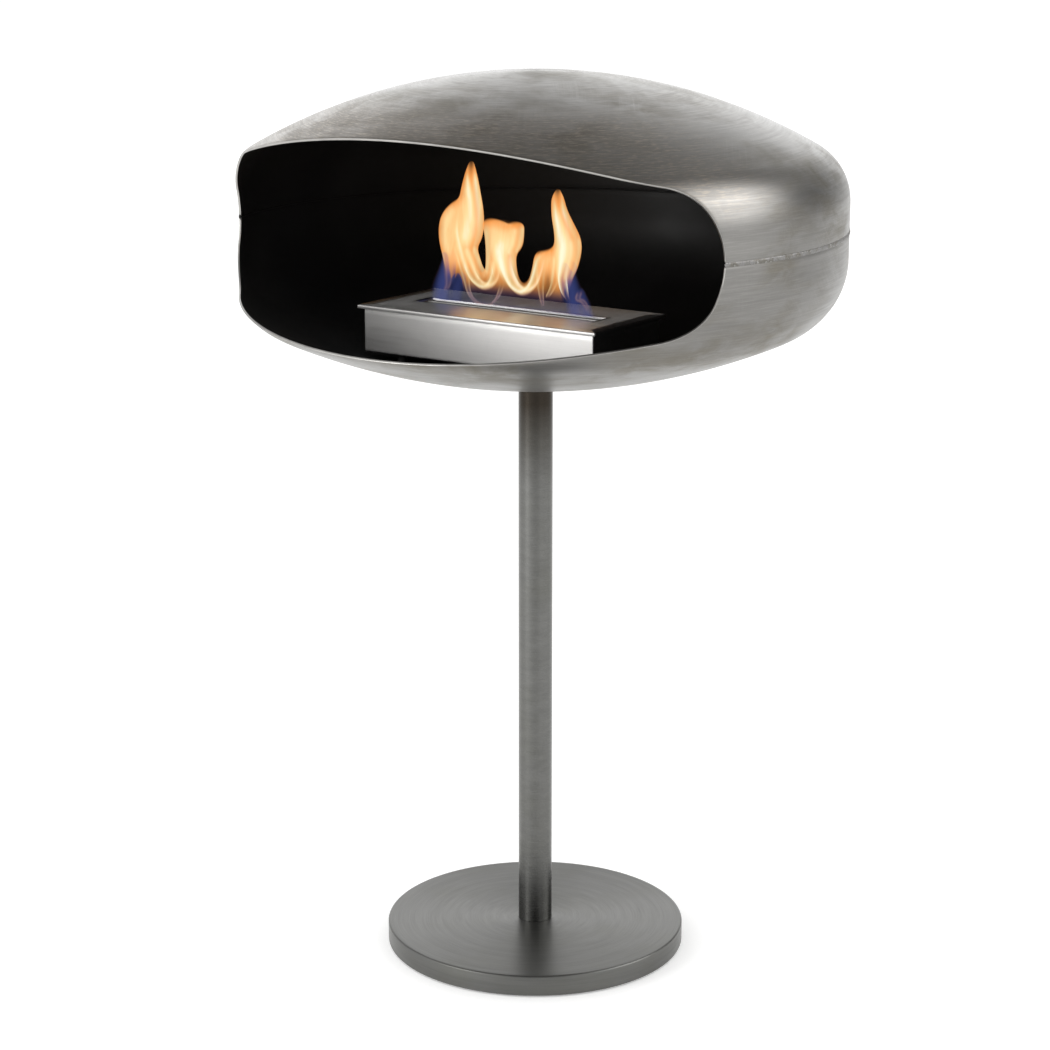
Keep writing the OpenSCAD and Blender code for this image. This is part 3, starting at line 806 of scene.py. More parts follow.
def made_real(tree, geometry, material):
    """Realizes instances, shades the result smooth and gives it its material."""
    real = node(tree, "GeometryNodeRealizeInstances", named={"Geometry": geometry})
    smooth = node(tree, "GeometryNodeSetShadeSmooth", named={"Geometry": real, "Shade Smooth": True})
    return node(tree, "GeometryNodeSetMaterial", named={"Geometry": smooth, "Material": material})


def moved(tree, geometry, x, y, z):
    return node(tree, "GeometryNodeTransform", named={
        "Geometry": geometry, "Translation": combined(tree, x, y, z)})


def swept(tree, curve, profile):
    return node(tree, "GeometryNodeCurveToMesh", named={
        "Curve": curve, "Profile Curve": profile, "Fill Caps": True})


def weld_tree():
    """Weld bead along an arc: a flat core with overlapping ripples on it."""
    tree, sockets, value = start_tree(
        "weld_bead", ("Radius", "Start", "Sweep", "Height", "Pitch", "Width", "Proud", "Wall"),
        ("Seed",), ("Finish", "Root Finish"))
    field = partial(calc, tree)
    position = partial(node, tree, "GeometryNodeInputPosition")

    def arc(radius, resolution):
        """An arc at the height of the seam."""
        drawn = node(tree, "GeometryNodeCurveArc", mode="RADIUS", named={
            "Resolution": resolution, "Radius": radius,
            "Start Angle": value["Start"], "Sweep Angle": value["Sweep"]})
        return moved(tree, drawn, 0.0, 0.0, value["Height"])

    def shuffled(low, high, offset):
        """A random number for each ripple."""
        made = tree.nodes.new("FunctionNodeRandomValue")
        made.data_type = "FLOAT"
        made.inputs[2].default_value, made.inputs[3].default_value = low, high
        put(tree, field("ADD", value["Seed"], float(offset)), made.inputs["Seed"])
        return made.outputs[1]

    seam = arc(value["Radius"], 720)
    # Core: a flat oval drawn along the arc, through the whole wall.
    oval = node(tree, "GeometryNodeCurvePrimitiveCircle", mode="RADIUS", named={
        "Resolution": 10, "Radius": 1.0})
    oval = node(tree, "GeometryNodeTransform", named={"Geometry": oval, "Scale": combined(
        tree, field("MULTIPLY", value["Proud"], 0.62), field("MULTIPLY", value["Width"], 0.5), 1.0)})
    core = swept(tree, seam, oval)
    # Ripples: flattened domes, each one a little different.
    points = node(tree, "GeometryNodeCurveToPoints", mode="LENGTH", named={
        "Curve": seam, "Length": value["Pitch"]})
    dome = node(tree, "GeometryNodeMeshUVSphere", named={"Segments": 8, "Rings": 5, "Radius": 0.5})
    x, y, _ = parts_of(tree, position())
    turn = combined(tree, shuffled(-0.25, 0.25, 3), 0.0, field("ARCTAN2", y, x))
    size = combined(tree, field("MULTIPLY", field("MULTIPLY", value["Proud"], 2.0), shuffled(0.75, 1.25, 1)),
                    field("MULTIPLY", field("MULTIPLY", value["Pitch"], 1.9), shuffled(0.8, 1.3, 2)),
                    field("MULTIPLY", value["Width"], shuffled(0.72, 1.12, 4)))
    shifted = node(tree, "GeometryNodeSetPosition", named={
        "Geometry": points, "Offset": combined(tree, 0.0, 0.0, shuffled(-0.00045, 0.00045, 5))})
    ripples = node(tree, "GeometryNodeInstanceOnPoints", named={
        "Points": shifted, "Instance": dome, "Rotation": turn, "Scale": size})
    # Root: the inside of the seam, a hair below the paint.
    inside = arc(field("SUBTRACT", value["Radius"], field("MULTIPLY", value["Wall"], 0.62)), 360)
    block = node(tree, "GeometryNodeCurvePrimitiveQuadrilateral", mode="RECTANGLE", named={
        "Width": field("MULTIPLY", value["Wall"], 0.58), "Height": 2.2 * WELD_ROOT})
    root = swept(tree, inside, block)
    joined = tree.nodes.new("GeometryNodeJoinGeometry")
    for part in (core, ripples, root):
        tree.links.new(part, joined.inputs[0])
    steel = made_real(tree, joined.outputs[0], value["Finish"])
    from_axis = vector(tree, "LENGTH", vector(tree, "MULTIPLY", position(), (1.0, 1.0, 0.0)), out=1)
    paint_from = field("SUBTRACT", value["Radius"], field("MULTIPLY", value["Wall"], 0.6))
    done = node(tree, "GeometryNodeSetMaterial", named={
        "Geometry": steel, "Selection": field("LESS_THAN", from_axis, paint_from),
        "Material": value["Root Finish"]})
    tree.links.new(done, tree.nodes.new("NodeGroupOutput").inputs[0])
    return tree, sockets


def grown(name, tree, sockets, values):
    """Runs a Geometry Nodes tree on an empty carrier and gives back its plain mesh."""
    carrier = in_scene(name + "_carrier", bpy.data.meshes.new(name + "_carrier"))
    modifier = carrier.modifiers.new("grow", "NODES")
    modifier.node_group = tree
    for label, value in values.items():
        modifier[sockets[label]] = value
    return evaluated(carrier, name)


class FIRE_OT_seam_weld(bpy.types.Operator):
    """Make the welded seam round the pod"""
    bl_idname = "fire.seam_weld"
    bl_label = "Seam weld"

    def execute(self, context):
        pod, weld = context.scene.fire_pod, context.scene.fire_weld
        opening = math.asin(pod.mouth_half_width / pod.radius)
        start = -math.pi / 2 + opening + 0.002
        tree, sockets = weld_tree()
        piece = grown("seam_weld_bead", tree, sockets, {
            "Radius": pod.radius, "Start": start, "Sweep": 2 * math.pi - 2 * opening - 0.004,
            "Height": pod.seam_height, "Pitch": weld.ripple_pitch, "Width": weld.bead_width,
            "Proud": weld.bead_height, "Wall": pod.wall, "Seed": weld.seed, "Finish": finish("weld"),
            "Root Finish": finish("paint")})
        settle(piece, "pod", "weld_steel", "equator_weld")
        return {"FINISHED"}


# ---------------------------------------------------------------- the stand

class FIRE_OT_base(bpy.types.Operator):
    """Make the turned base disc and its floor pad"""
    bl_idname = "fire.base"
    bl_label = "Base"

    def execute(self, context):
        edge = context.scene.fire_stand.disc_edge
        radius, low, high = DISC_HIGH.x, DISC_LOW.z, DISC_HIGH.z
        recess, recess_top, bore = 0.018, low + 0.013, 0.0085
        rings = [radius * share for share in (0.12, 0.3, 0.5, 0.7, 0.86, 0.97)]
        profile = [(bore, high), *[(r, high) for r in rings],
                   *reversed(quarter((radius - edge, high - edge), edge, 0, 90)),
                   *reversed(quarter((radius - edge, low + edge), edge, -90, 0)),
                   *[(r, low) for r in rings[:0:-1]], (recess, low), (recess, recess_top), (bore, recess_top)]
        settle(new_piece("base_disc_turned", *lathe(profile, 288), ("disc",), sharp=40.0),
               "stand", "stand_steel", "base_disc")
        pad = PAD_HIGH.x
        soft = 0.0007
        profile = [(0.0, PAD_LOW.z), (pad * 0.6, PAD_LOW.z), (pad - soft, PAD_LOW.z), (pad, PAD_LOW.z + soft),
                   (pad, PAD_HIGH.z - soft), (pad - soft, PAD_HIGH.z), (pad * 0.6, PAD_HIGH.z),
                   (0.0, PAD_HIGH.z)]
        piece = new_piece("floor_pad", *lathe(profile, 192), ("pad",), sharp=50.0)
        settle(piece, "stand", "pad_rubber", "base_pad")
        return {"FINISHED"}


class FIRE_OT_pole(bpy.types.Operator):
    """Make the brushed pole"""
    bl_idname = "fire.pole"
    bl_label = "Pole"

    def execute(self, context):
        edge = context.scene.fire_stand.pole_edge
        radius, low, high = POLE_HIGH.x, POLE_LOW.z, POLE_HIGH.z
        bore = radius - 0.0026
        heights = np.linspace(low + edge, high - edge, 40)
        profile = [(bore, low), (radius - edge, low), *[(radius, h) for h in heights], (radius - edge, high),
                   (bore, high)]
        piece = new_piece("pole_tube", *lathe(profile, 128), ("pole",), sharp=40.0)
        settle(piece, "stand", "stand_steel", "pole")
        return {"FINISHED"}


class FIRE_OT_swivel_parts(bpy.types.Operator):
    """Finish the bolts, plugs, washers and spring of the stand and the plate they bear on"""
    bl_idname = "fire.swivel_parts"
    bl_label = "Swivel parts"

    def execute(self, context):
        for part in ("base_bolt", "base_washer", "pole_foot_plug", "pole_head_plug", "swivel_bolt"):
            dress(part, "bolt")
        for part in ("lower_thrust_washer", "upper_thrust_washer"):
            dress(part, "bronze")
        dress("disc_spring", "spring")
        dress("doubler_plate", "black")
        return {"FINISHED"}


# ---------------------------------------------------------------- the burner

class FIRE_OT_burner_tray(bpy.types.Operator):
    """Finish the tray that carries the burner, its standoffs and its screws"""
    bl_idname = "fire.burner_tray"
    bl_label = "Burner tray"

    def execute(self, context):
        for part, key in (("burner_tray", "black"), ("tray_standoffs", "black"), ("tray_screws", "bolt")):
            dress(part, key)
        return {"FINISHED"}


class FIRE_OT_burner_casing(bpy.types.Operator):
    """Make the folded casing of the burner"""
    bl_idname = "fire.burner_casing"
    bl_label = "Burner casing"

    def execute(self, context):
        burner = context.scene.fire_burner
        bend, sheet = burner.bend, burner.sheet
        half_x, half_y = CASING_HIGH.x, (CASING_HIGH.y - CASING_LOW.y) / 2
        low, high = CASING_LOW.z, CASING_HIGH.z

        def ring(inset, height, corner):
            return rounded_rectangle(half_x - inset, half_y - inset, corner, height, BURNER_Y, 5)

        floor_bend = [ring(bend * (1 - math.sin(a)), low + bend * (1 - math.cos(a)), bend)
                      for a in np.radians((0, 25, 45, 65, 90))]
        rings = [ring(bend + 0.006, low, bend), *floor_bend,
                 *[ring(0, h, bend) for h in np.linspace(low + bend * 2, high - 0.0006, 6)],
                 ring(0.0003, high, bend), ring(sheet - 0.0003, high, 0.0008),
                 ring(sheet, high - 0.0006, 0.0006), ring(sheet, low + sheet + 0.001, 0.0006),
                 ring(sheet + 0.0006, low + sheet, 0.0006)]
        piece = new_piece("burner_casing_folded", *loft(rings, False), ("sheet",), sharp=50.0)
        settle(piece, "burner", "burner_steel", "burner_casing")
        return {"FINISHED"}


class FIRE_OT_burner_top(bpy.types.Operator):
    """Make the folded top plate of the burner with the folded edge of its slot"""
    bl_idname = "fire.burner_top"
    bl_label = "Burner top"

    def execute(self, context):
        burner = context.scene.fire_burner
        bend, sheet = burner.bend, burner.sheet
        half_x, half_y = PLATE_HIGH.x, (PLATE_HIGH.y - PLATE_LOW.y) / 2
        collar = 0.0012
        slot_x, slot_y = COLLAR_HIGH.x - collar, (COLLAR_HIGH.y - COLLAR_LOW.y) / 2 - collar
        top, skirt, slot_foot = PLATE_HIGH.z, PLATE_LOW.z, COLLAR_LOW.z
        turns = np.radians((0, 22, 45, 68, 90))

        def outer(inset, height, corner=0.0014):
            return rounded_rectangle(half_x - inset, half_y - inset, max(corner, 0.0002), height, BURNER_Y)

        def inner(grow, height, corner=0.0012):
            return rounded_rectangle(slot_x + grow, slot_y + grow, corner, height, BURNER_Y)

        rings = [outer(0.0002, skirt), outer(0.0, skirt + 0.0003), outer(0.0, top - bend)]
        rings += [outer(bend * (1 - math.cos(a)), top - bend * (1 - math.sin(a)), 0.0014) for a in turns[1:]]
        rings += [outer(0.02, top), inner(0.006, top)]
        rings += [inner(bend * (1 - math.sin(a)), top - bend * (1 - math.cos(a))) for a in turns]
        rings += [inner(0.0, slot_foot), inner(collar, slot_foot), inner(collar, top - sheet),
                  outer(sheet + 0.0005, top - sheet, 0.0005), outer(sheet, top - sheet - 0.0005, 0.0004),
                  outer(sheet, skirt, 0.0004)]
        vertices, faces = loft(rings, True)
        count = len(rings[0])
        # The faces on top of the plate take the lighter plate steel: painted light.
        painted_light_faces = [1 if 6 <= f // count <= 8 else 0 for f in range(len(faces))]
        piece = new_piece("burner_top_folded", vertices, faces, ("sheet", "plate_top"), painted_light_faces, sharp=50.0)
        settle(piece, "burner", "burner_steel", "burner_top_plate", "slot_collar")
        return {"FINISHED"}


class FIRE_OT_slider(bpy.types.Operator):
    """Make the sliding cover with its folded lip"""
    bl_idname = "fire.slider"
    bl_label = "Slider"

    def execute(self, context):
        sheet = 0.0015
        lip, lip_x = 0.0012, 0.1446
        front, back, low, high = SLIDER_LOW.y, SLIDER_HIGH.y, SLIDER_LOW.z, SLIDER_HIGH.z
        fold = [*quarter((back - 0.0006, low + 0.0006), 0.0006, -90, 0, 4), (back, high - 0.0003),
                (back - 0.0003, high), (back - lip + 0.0003, high), (back - lip, high - 0.0003),
                *quarter((back - lip - 0.0008, low + sheet + 0.0008), 0.0008, 0, -90, 4)]
        lip_part = [(back - lip - 0.0008, low + sheet), *fold[:11]]
        plate_part = [(front + 0.0003, low), (back, low), (back, low + sheet), (front + 0.0003, low + sheet),
                      (front, low + sheet - 0.0003), (front, low + 0.0003)]
        vertices, faces = [], []
        for part, reach in ((plate_part, SLIDER_HIGH.x), (lip_part, lip_x)):
            first = len(vertices)
            rings = [[(x, y, z) for y, z in part] for x in (-reach, -reach / 3, reach / 3, reach)]
            made, joined = loft(rings, False)
            vertices += made
            faces += [tuple(first + v for v in f) for f in joined]
        piece = new_piece("slider_cover", vertices, faces, ("slider",), sharp=40.0)
        settle(piece, "slider", "burner_steel", "slider_plate")
        return {"FINISHED"}


def wire_mesh_tree():
    """Woven wire cloth: two sets of wavy wires over and under each other."""
    tree, sockets, value = start_tree(
        "wire_cloth", ("Length", "Width", "Pitch", "Wire", "Height", "Middle"), finishes=("Finish",))
    field = partial(calc, tree)
    joined = tree.nodes.new("GeometryNodeJoinGeometry")
    for along, across, phase in (("Length", "Width", 0.0), ("Width", "Length", math.pi)):
        half_along, half_across = field("MULTIPLY", value[along], 0.5), field("MULTIPLY", value[across], 0.5)
        steps = field("ROUND", field("DIVIDE", value[along], value["Pitch"]))
        wires = field("ROUND", field("DIVIDE", value[across], value["Pitch"]))
        line = node(tree, "GeometryNodeCurvePrimitiveLine", mode="POINTS", named={
            "Start": combined(tree, field("MULTIPLY", half_along, -1.0), 0.0, 0.0),
            "End": combined(tree, half_along, 0.0, 0.0)})
        line = node(tree, "GeometryNodeResampleCurve", named={"Curve": line, "Count": field("ADD", steps, 1.0)})
        rows = node(tree, "GeometryNodeMeshLine", mode="END_POINTS", named={
            "Count": wires, "Start Location": combined(tree, 0.0, field("MULTIPLY", half_across, -0.985), 0.0),
            "Offset": combined(tree, 0.0, field("MULTIPLY", half_across, 0.985), 0.0)})
        laid = node(tree, "GeometryNodeInstanceOnPoints", named={"Points": rows, "Instance": line})
        laid = node(tree, "GeometryNodeRealizeInstances", named={"Geometry": laid})
        x, y, _ = parts_of(tree, node(tree, "GeometryNodeInputPosition"))
        steps_along = field("DIVIDE", field("ADD", x, half_along), value["Pitch"])
        steps_across = field("DIVIDE", field("ADD", y, half_across), value["Pitch"])
        crossing = field("ADD", field("ROUND", steps_along), field("ROUND", steps_across))
        weave = field("COSINE", field("ADD", field("MULTIPLY", crossing, math.pi), phase))
        rise = field("MULTIPLY", weave, field("MULTIPLY", value["Wire"], 0.5))
        laid = node(tree, "GeometryNodeSetPosition", named={
            "Geometry": laid, "Offset": combined(tree, 0.0, 0.0, rise)})
        section = node(tree, "GeometryNodeCurvePrimitiveCircle", mode="RADIUS", named={
            "Resolution": 5, "Radius": value["Wire"]})
        drawn = swept(tree, laid, section)
        if along == "Width":
            drawn = node(tree, "GeometryNodeTransform", named={
                "Geometry": drawn, "Rotation": (0.0, 0.0, math.pi / 2)})
        tree.links.new(drawn, joined.inputs[0])
    placed = moved(tree, joined.outputs[0], 0.0, value["Middle"], value["Height"])
    done = made_real(tree, placed, value["Finish"])
    tree.links.new(done, tree.nodes.new("NodeGroupOutput").inputs[0])
    return tree, sockets


class FIRE_OT_retaining_mesh(bpy.types.Operator):
    """Weave the wire cloth that holds the fibre down"""
    bl_idname = "fire.retaining_mesh"
    bl_label = "Retaining mesh"

    def execute(self, context):
        burner = context.scene.fire_burner
        tree, sockets = wire_mesh_tree()
        piece = grown("wire_cloth", tree, sockets, {
            "Length": MESH_HIGH.x - MESH_LOW.x - 0.001, "Width": MESH_HIGH.y - MESH_LOW.y - 0.001,
            "Pitch": burner.wire_pitch, "Wire": burner.wire_radius, "Height": (MESH_LOW.z + MESH_HIGH.z) / 2,
            "Middle": (MESH_LOW.y + MESH_HIGH.y) / 2, "Finish": finish("wire")})
        settle(piece, "burner", "mesh_steel", "retaining_mesh")
        return {"FINISHED"}


class FIRE_OT_fuel_parts(bpy.types.Operator):
    """Make the fibre packing and finish the reservoir, its rails and the slider guides"""
    bl_idname = "fire.fuel_parts"
    bl_label = "Fuel parts"

    def execute(self, context):
        for part, key in (("reservoir_rails", "reservoir"), ("fuel_reservoir", "reservoir"),
                          ("slider_guides", "sheet")):
            dress(part, key)
        size = FIBRE_HIGH - FIBRE_LOW
        soft = 0.004
        shape = bmesh.new()
        bmesh.ops.create_cube(shape, size=1.0)
        for v in shape.verts:
            v.co = Vector([FIBRE_LOW[k] + (v.co[k] + 0.5) * size[k] for k in range(3)])
        bmesh.ops.bevel(shape, geom=list(shape.edges), offset=soft, segments=3, affect="EDGES", profile=0.5)
        bmesh.ops.subdivide_edges(shape, edges=[e for e in shape.edges if e.calc_length() > 0.05], cuts=40,
                                  use_grid_fill=True)
        low, high = FIBRE_LOW.z, FIBRE_HIGH.z
        for v in shape.verts:
            wave = (math.sin(v.co.x * 93.0 + 1.3) * math.cos(v.co.y * 121.0) +
                    math.sin(v.co.x * 251.0) * math.sin(v.co.y * 307.0 + 0.7) * 0.6)
            share = (v.co.z - low) / (high - low)
            v.co.z -= share * 0.0006 * (1.6 - wave)
        mesh = bpy.data.meshes.new("fibre_packing")
        shape.to_mesh(mesh)
        shape.free()
        mesh.materials.append(finish("fibre"))
        mesh.polygons.foreach_set("use_smooth", [True] * len(mesh.polygons))
        settle(in_scene("fibre_packing", mesh), "burner", "fibre", "ceramic_fibre")
        return {"FINISHED"}


# ---------------------------------------------------------------- the fire

# Outline of the fire, and the bright bands of hot gas in it, in millimetres along the slot and above the
# plate. A point that is given twice keeps its corner sharp. Each band starts with its heat, and the third
# number of its points is its half width there.
FIRE_OUTLINE = (
    (-73, 194), (-73, 194), (-66, 177), (-60, 155), (-54, 131), (-53, 109), (-57, 91), (-67, 77), (-62, 64),
    (-56, 51), (-49, 47), (-43, 53), (-41, 78), (-43, 100), (-48, 116), (-39, 120), (-24, 119), (-10, 114),
    (-1, 118), (10, 116), (10, 101), (8, 85), (-2, 73), (-1, 53), (5, 38), (14, 34), (24, 40), (30, 56),
    (33, 79), (44, 81), (60, 86), (69, 95), (68, 112), (63, 130), (62, 152), (66, 162), (70, 166), (70, 166),
    (77, 157), (83, 141), (96, 123), (107, 106), (109, 88), (102, 65), (91, 46), (86, 23), (90, 8), (45, 4),
    (14, 7), (-47, -5), (-78, 3), (-114, 5), (-121, 17), (-114, 37), (-119, 59), (-126, 81), (-127, 103),
    (-122, 121), (-109, 135), (-92, 144), (-87, 163), (-80, 182),
)
HOT_BANDS = (
    (0.80, ((-74, 182, 2), (-72, 164, 5), (-69, 142, 9.5), (-70, 117, 12.5), (-77, 97, 12.5), (-83, 82, 9.5))),
    (0.42, ((-98, 134, 4.5), (-111, 114, 8.5), (-116, 91, 8), (-108, 66, 5.5))),
    (0.85, ((-91, 134, 2.5), (-95, 105, 3.5), (-91, 83, 4), (-84, 65, 4.5), (-76, 46, 4), (-65, 32, 4),
            (-49, 25, 5), (-35, 34, 4), (-28, 57, 4), (-22, 80, 6))),
    (0.62, ((-78, 78, 5.5), (-63, 54, 4.5), (-54, 36, 4.5))),
    (0.48, ((-102, 83, 3), (-90, 58, 2.5), (-82, 33, 2), (-78, 14, 2), (-67, 3, 2), (-47, -2, 1.5),
            (-32, 8, 1.5), (-24, 23, 2), (-19, 39, 2.5))),
    (1.00, ((-19, 110, 11.5), (-15, 94, 15.5), (-18, 77, 10.5), (-15, 61, 8.5), (-9, 44, 6), (0, 30, 5),
            (14, 24, 5.5), (29, 34, 4), (36, 56, 4), (40, 74, 4), (56, 81, 4.5))),
    (0.66, ((-39, 111, 6), (-36, 88, 5.5), (-36, 66, 4), (-42, 43, 4.5))),
    (0.60, ((6, 111, 4), (3, 93, 4.5), (-5, 75, 4))),
    (1.00, ((70, 158, 2), (73, 140, 6), (79, 119, 9.5), (86, 98, 12), (86, 82, 10.5), (81, 63, 6),
            (78, 48, 3), (82, 29, 2), (90, 16, 1.5))),
    (0.48, ((100, 105, 5), (102, 87, 5), (94, 64, 4.5), (86, 45, 2.5))),
    (0.50, ((39, 72, 3.5), (40, 50, 2.5), (42, 29, 2), (47, 4, 1.5))),
    (0.55, ((71, 81, 3), (69, 56, 2.5), (62, 34, 2), (52, 19, 1.5))),
    (0.35, ((-120, 72, 3.5), (-114, 43, 3), (-112, 24, 3), (-118, 14, 2))),
    (0.40, ((107, 34, 2), (102, 22, 2.5), (112, 21, 2.5), (121, 8, 1.5))),
)
# Blue plumes at the foot of the fire, in the same form.
COOL_BANDS = (
    (1.00, ((-126, -6, 13), (-123, 16, 12), (-118, 40, 8), (-115, 66, 4))),
    (0.60, ((-104, -6, 12), (-99, 16, 10), (-94, 36, 5))),
    (0.90, ((101, -6, 12), (96, 22, 12), (92, 44, 9), (90, 70, 4))),
    (0.80, ((119, -6, 10), (112, 18, 7), (106, 36, 4))),
    (0.50, ((-96, -6, 13), (-40, -8, 12), (20, -8, 11), (70, -7, 12), (100, -6, 12))),
)
# Thin places in the fire, where the wall behind shows: middle, reach along and up.
THIN_PATCHES = ((-97, 32, 14, 30), (54, 40, 13, 30), (-55, 6, 30, 17), (14, 6, 32, 15))
# Metres: how far behind the middle of the burner the fire stands, its half depth, and how far it bows.
SLOT_BEHIND, FLAME_DEPTH, FLAME_BOW = 0.0118, 0.009, 0.005


def smoothstep(low, high, value):
    share = np.clip((value - low) / (high - low), 0, 1)
    return share * share * (3 - 2 * share)


def softened(points, closed):
    """Cuts the corners of a line twice, so that it bends smoothly."""
    line = np.array(points, dtype=float)
    for _ in range(2):
        ahead = np.roll(line, -1, axis=0)
        cut = np.stack([0.75 * line + 0.25 * ahead, 0.25 * line + 0.75 * ahead], axis=1)
        line = cut.reshape(-1, line.shape[1]) if closed else np.vstack(
            [line[:1], cut[:-1].reshape(-1, line.shape[1]), line[-1:]])
    return line


def inside_outline(outline, x, z):
    """Distance to an outline, positive inside it."""
    corners = softened(outline, True)
    reach, inside = np.full_like(x, 1e9), np.zeros(x.shape, dtype=bool)
    for (ax, az), (bx, bz) in zip(corners, np.roll(corners, -1, axis=0)):
        side_x, side_z = bx - ax, bz - az
        share = ((x - ax) * side_x + (z - az) * side_z) / (side_x ** 2 + side_z ** 2 + 1e-9)
        share = np.clip(share, 0, 1)
        reach = np.minimum(reach, np.hypot(x - ax - share * side_x, z - az - share * side_z))
        inside ^= ((az > z) != (bz > z)) & (x < side_x * (z - az) / (side_z + 1e-12) + ax)
    return np.where(inside, reach, -reach)


def along_band(path, x, z, steps=5):
    """Closeness to a band of changing width: one in its middle, zero at its edge."""
    nodes = softened(path, False)
    fine = np.linspace(0, len(nodes) - 1, (len(nodes) - 1) * steps + 1)
    knots = np.arange(len(nodes))
    best = np.zeros_like(x)
    fade = smoothstep(0.0, 0.22, fine / fine[-1]) * smoothstep(1.0, 0.78, fine / fine[-1])
    for px, pz, width, end in zip(*(np.interp(fine, knots, nodes[:, k]) for k in range(3)), fade):
        best = np.maximum(best, (1 - np.hypot(x - px, z - pz) / (1.7 * width)) * end)
    return best


def fire_field(x, z):
    """Heat, veil and blueness of the fire in the plane of the slot, in millimetres."""
    inside = inside_outline(FIRE_OUTLINE, x, z)
    body = smoothstep(-2.6, 3.6, inside)
    thin = np.zeros_like(x)
    for px, pz, wide, tall in THIN_PATCHES:
        thin = np.maximum(thin, smoothstep(1.0, 0.2, np.hypot((x - px) / wide, (z - pz) / tall)))
    fill = body * (0.05 + 0.83 * smoothstep(14, 64, z)) * (1 - 0.62 * thin)
    heat = 0.26 + 0.26 * smoothstep(1, 14, inside) * smoothstep(30, 90, z)
    bands = np.zeros_like(x)
    for power, path in HOT_BANDS:
        bands = np.maximum(bands, power * smoothstep(0.0, 1.0, along_band(path, x, z)))
    rise = smoothstep(-6, 16, z)
    veil = np.maximum(fill, bands * (0.35 + 0.65 * rise))
    heat = heat + (1.0 - heat) * bands
    cool = np.zeros_like(x)
    for power, path in COOL_BANDS:
        cool = np.maximum(cool, power * smoothstep(0.0, 0.9, along_band(path, x, z)))
    blue = np.maximum(smoothstep(0.0, 0.08, cool), 0.9 * smoothstep(34, 12, z)) * (1 - 0.85 * bands)
    blue *= 1 - 0.7 * body * smoothstep(30, 60, z)
    return heat, np.clip(np.maximum(veil, 0.29 * cool), 0, 1), np.clip(blue, 0, 1)


class FIRE_OT_flames(bpy.types.Operator):
    """Make the fire over the slot"""
    bl_idname = "fire.flames"
    bl_label = "Flames"

    def execute(self, context):
        step = 1.3       # millimetres between the points of the grid
        xs, zs = np.arange(-148, 136, step), np.arange(0, 200, step)
        x, z = np.meshgrid(xs, zs)
        hot, veil, blue = fire_field(x, z)
        slot_back = BURNER_Y + SLOT_BEHIND
        depth = FLAME_DEPTH * np.sqrt(veil) * (0.35 + 0.65 * smoothstep(0, 40, z)) + 0.0005
        bow = FLAME_BOW * np.sin(x * 0.045) * smoothstep(10, 90, z)
        wide = len(xs)
        keep = veil > 0.012
        vertices, faces, shades = [], [], []
        for side in (-1, 1):
            first = len(vertices)
            places = [x / 1000, slot_back + bow + side * depth, PLATE_HIGH.z - 0.0008 + z / 1000]
            vertices += np.stack(places, axis=-1).reshape(-1, 3).tolist()
            shades.append(np.stack([hot, veil, blue], axis=-1).reshape(-1, 3))
            cell = keep[:-1, :-1] | keep[1:, :-1] | keep[:-1, 1:] | keep[1:, 1:]
            for j, i in zip(*np.nonzero(cell)):
                corner = [j * wide + i, j * wide + i + 1, (j + 1) * wide + i + 1, (j + 1) * wide + i]
                faces.append([first + int(c) for c in (corner if side < 0 else corner[::-1])])
        piece = new_piece("flames", vertices, faces, ("flame",), sharp=180.0, recalc=False)
        mesh = piece.data
        for k, label in enumerate(("warmth", "veil", "foot")):
            layer = mesh.attributes.new(label, "FLOAT", "POINT")
            layer.data.foreach_set("value", np.concatenate(shades)[:, k].astype(np.float32))
        shape = bmesh.new()
        shape.from_mesh(mesh)
        bmesh.ops.delete(shape, geom=[v for v in shape.verts if not v.link_faces], context="VERTS")
        shape.to_mesh(mesh)
        shape.free()
        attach(piece, "burner")
        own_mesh(piece)
        return {"FINISHED"}


# ---------------------------------------------------------------- the studio

# Soft light and shade of the room, as the steel sees it: azimuth, elevation, reach in degrees, and how much.
ROOM_LIGHTS = ((113, 26, 30, 2.3), (124, 42, 24, 2.3), (-14, 14, 24, 1.1), (-44, 14, 40, 0.5), (76, 8, 20, 0.9),
               (-146, 14, 34, 0.9), (164, 24, 34, -0.35), (35, 14, 30, -0.9), (150, 10, 24, -0.3))

SOFTBOX_PLACE, SOFTBOX_TARGET = (-1.33, -2.90, 1.55), (0.12, -0.10, 0.95)
SOFTBOX_SIZE = (1.25, 1.75)
# The camera stands at this turn from the front, distance from the axis and height. It looks down by the
# tilt, and its swing is how far it turns away from the axis. Angles in degrees, the lens in millimetres.
CAMERA_TURN, CAMERA_TILT, CAMERA_SWING = 34.5, 14.35, 0.24
CAMERA_REACH, CAMERA_HEIGHT, CAMERA_LENS = 3.560, 1.535, 89.18


def direction_to(azimuth, elevation):
    """Unit vector towards a direction. Azimuth 0 is in front of the mouth and 90 on its right."""
    a, e = math.radians(azimuth), math.radians(elevation)
    return math.sin(a) * math.cos(e), -math.cos(a) * math.cos(e), math.sin(e)


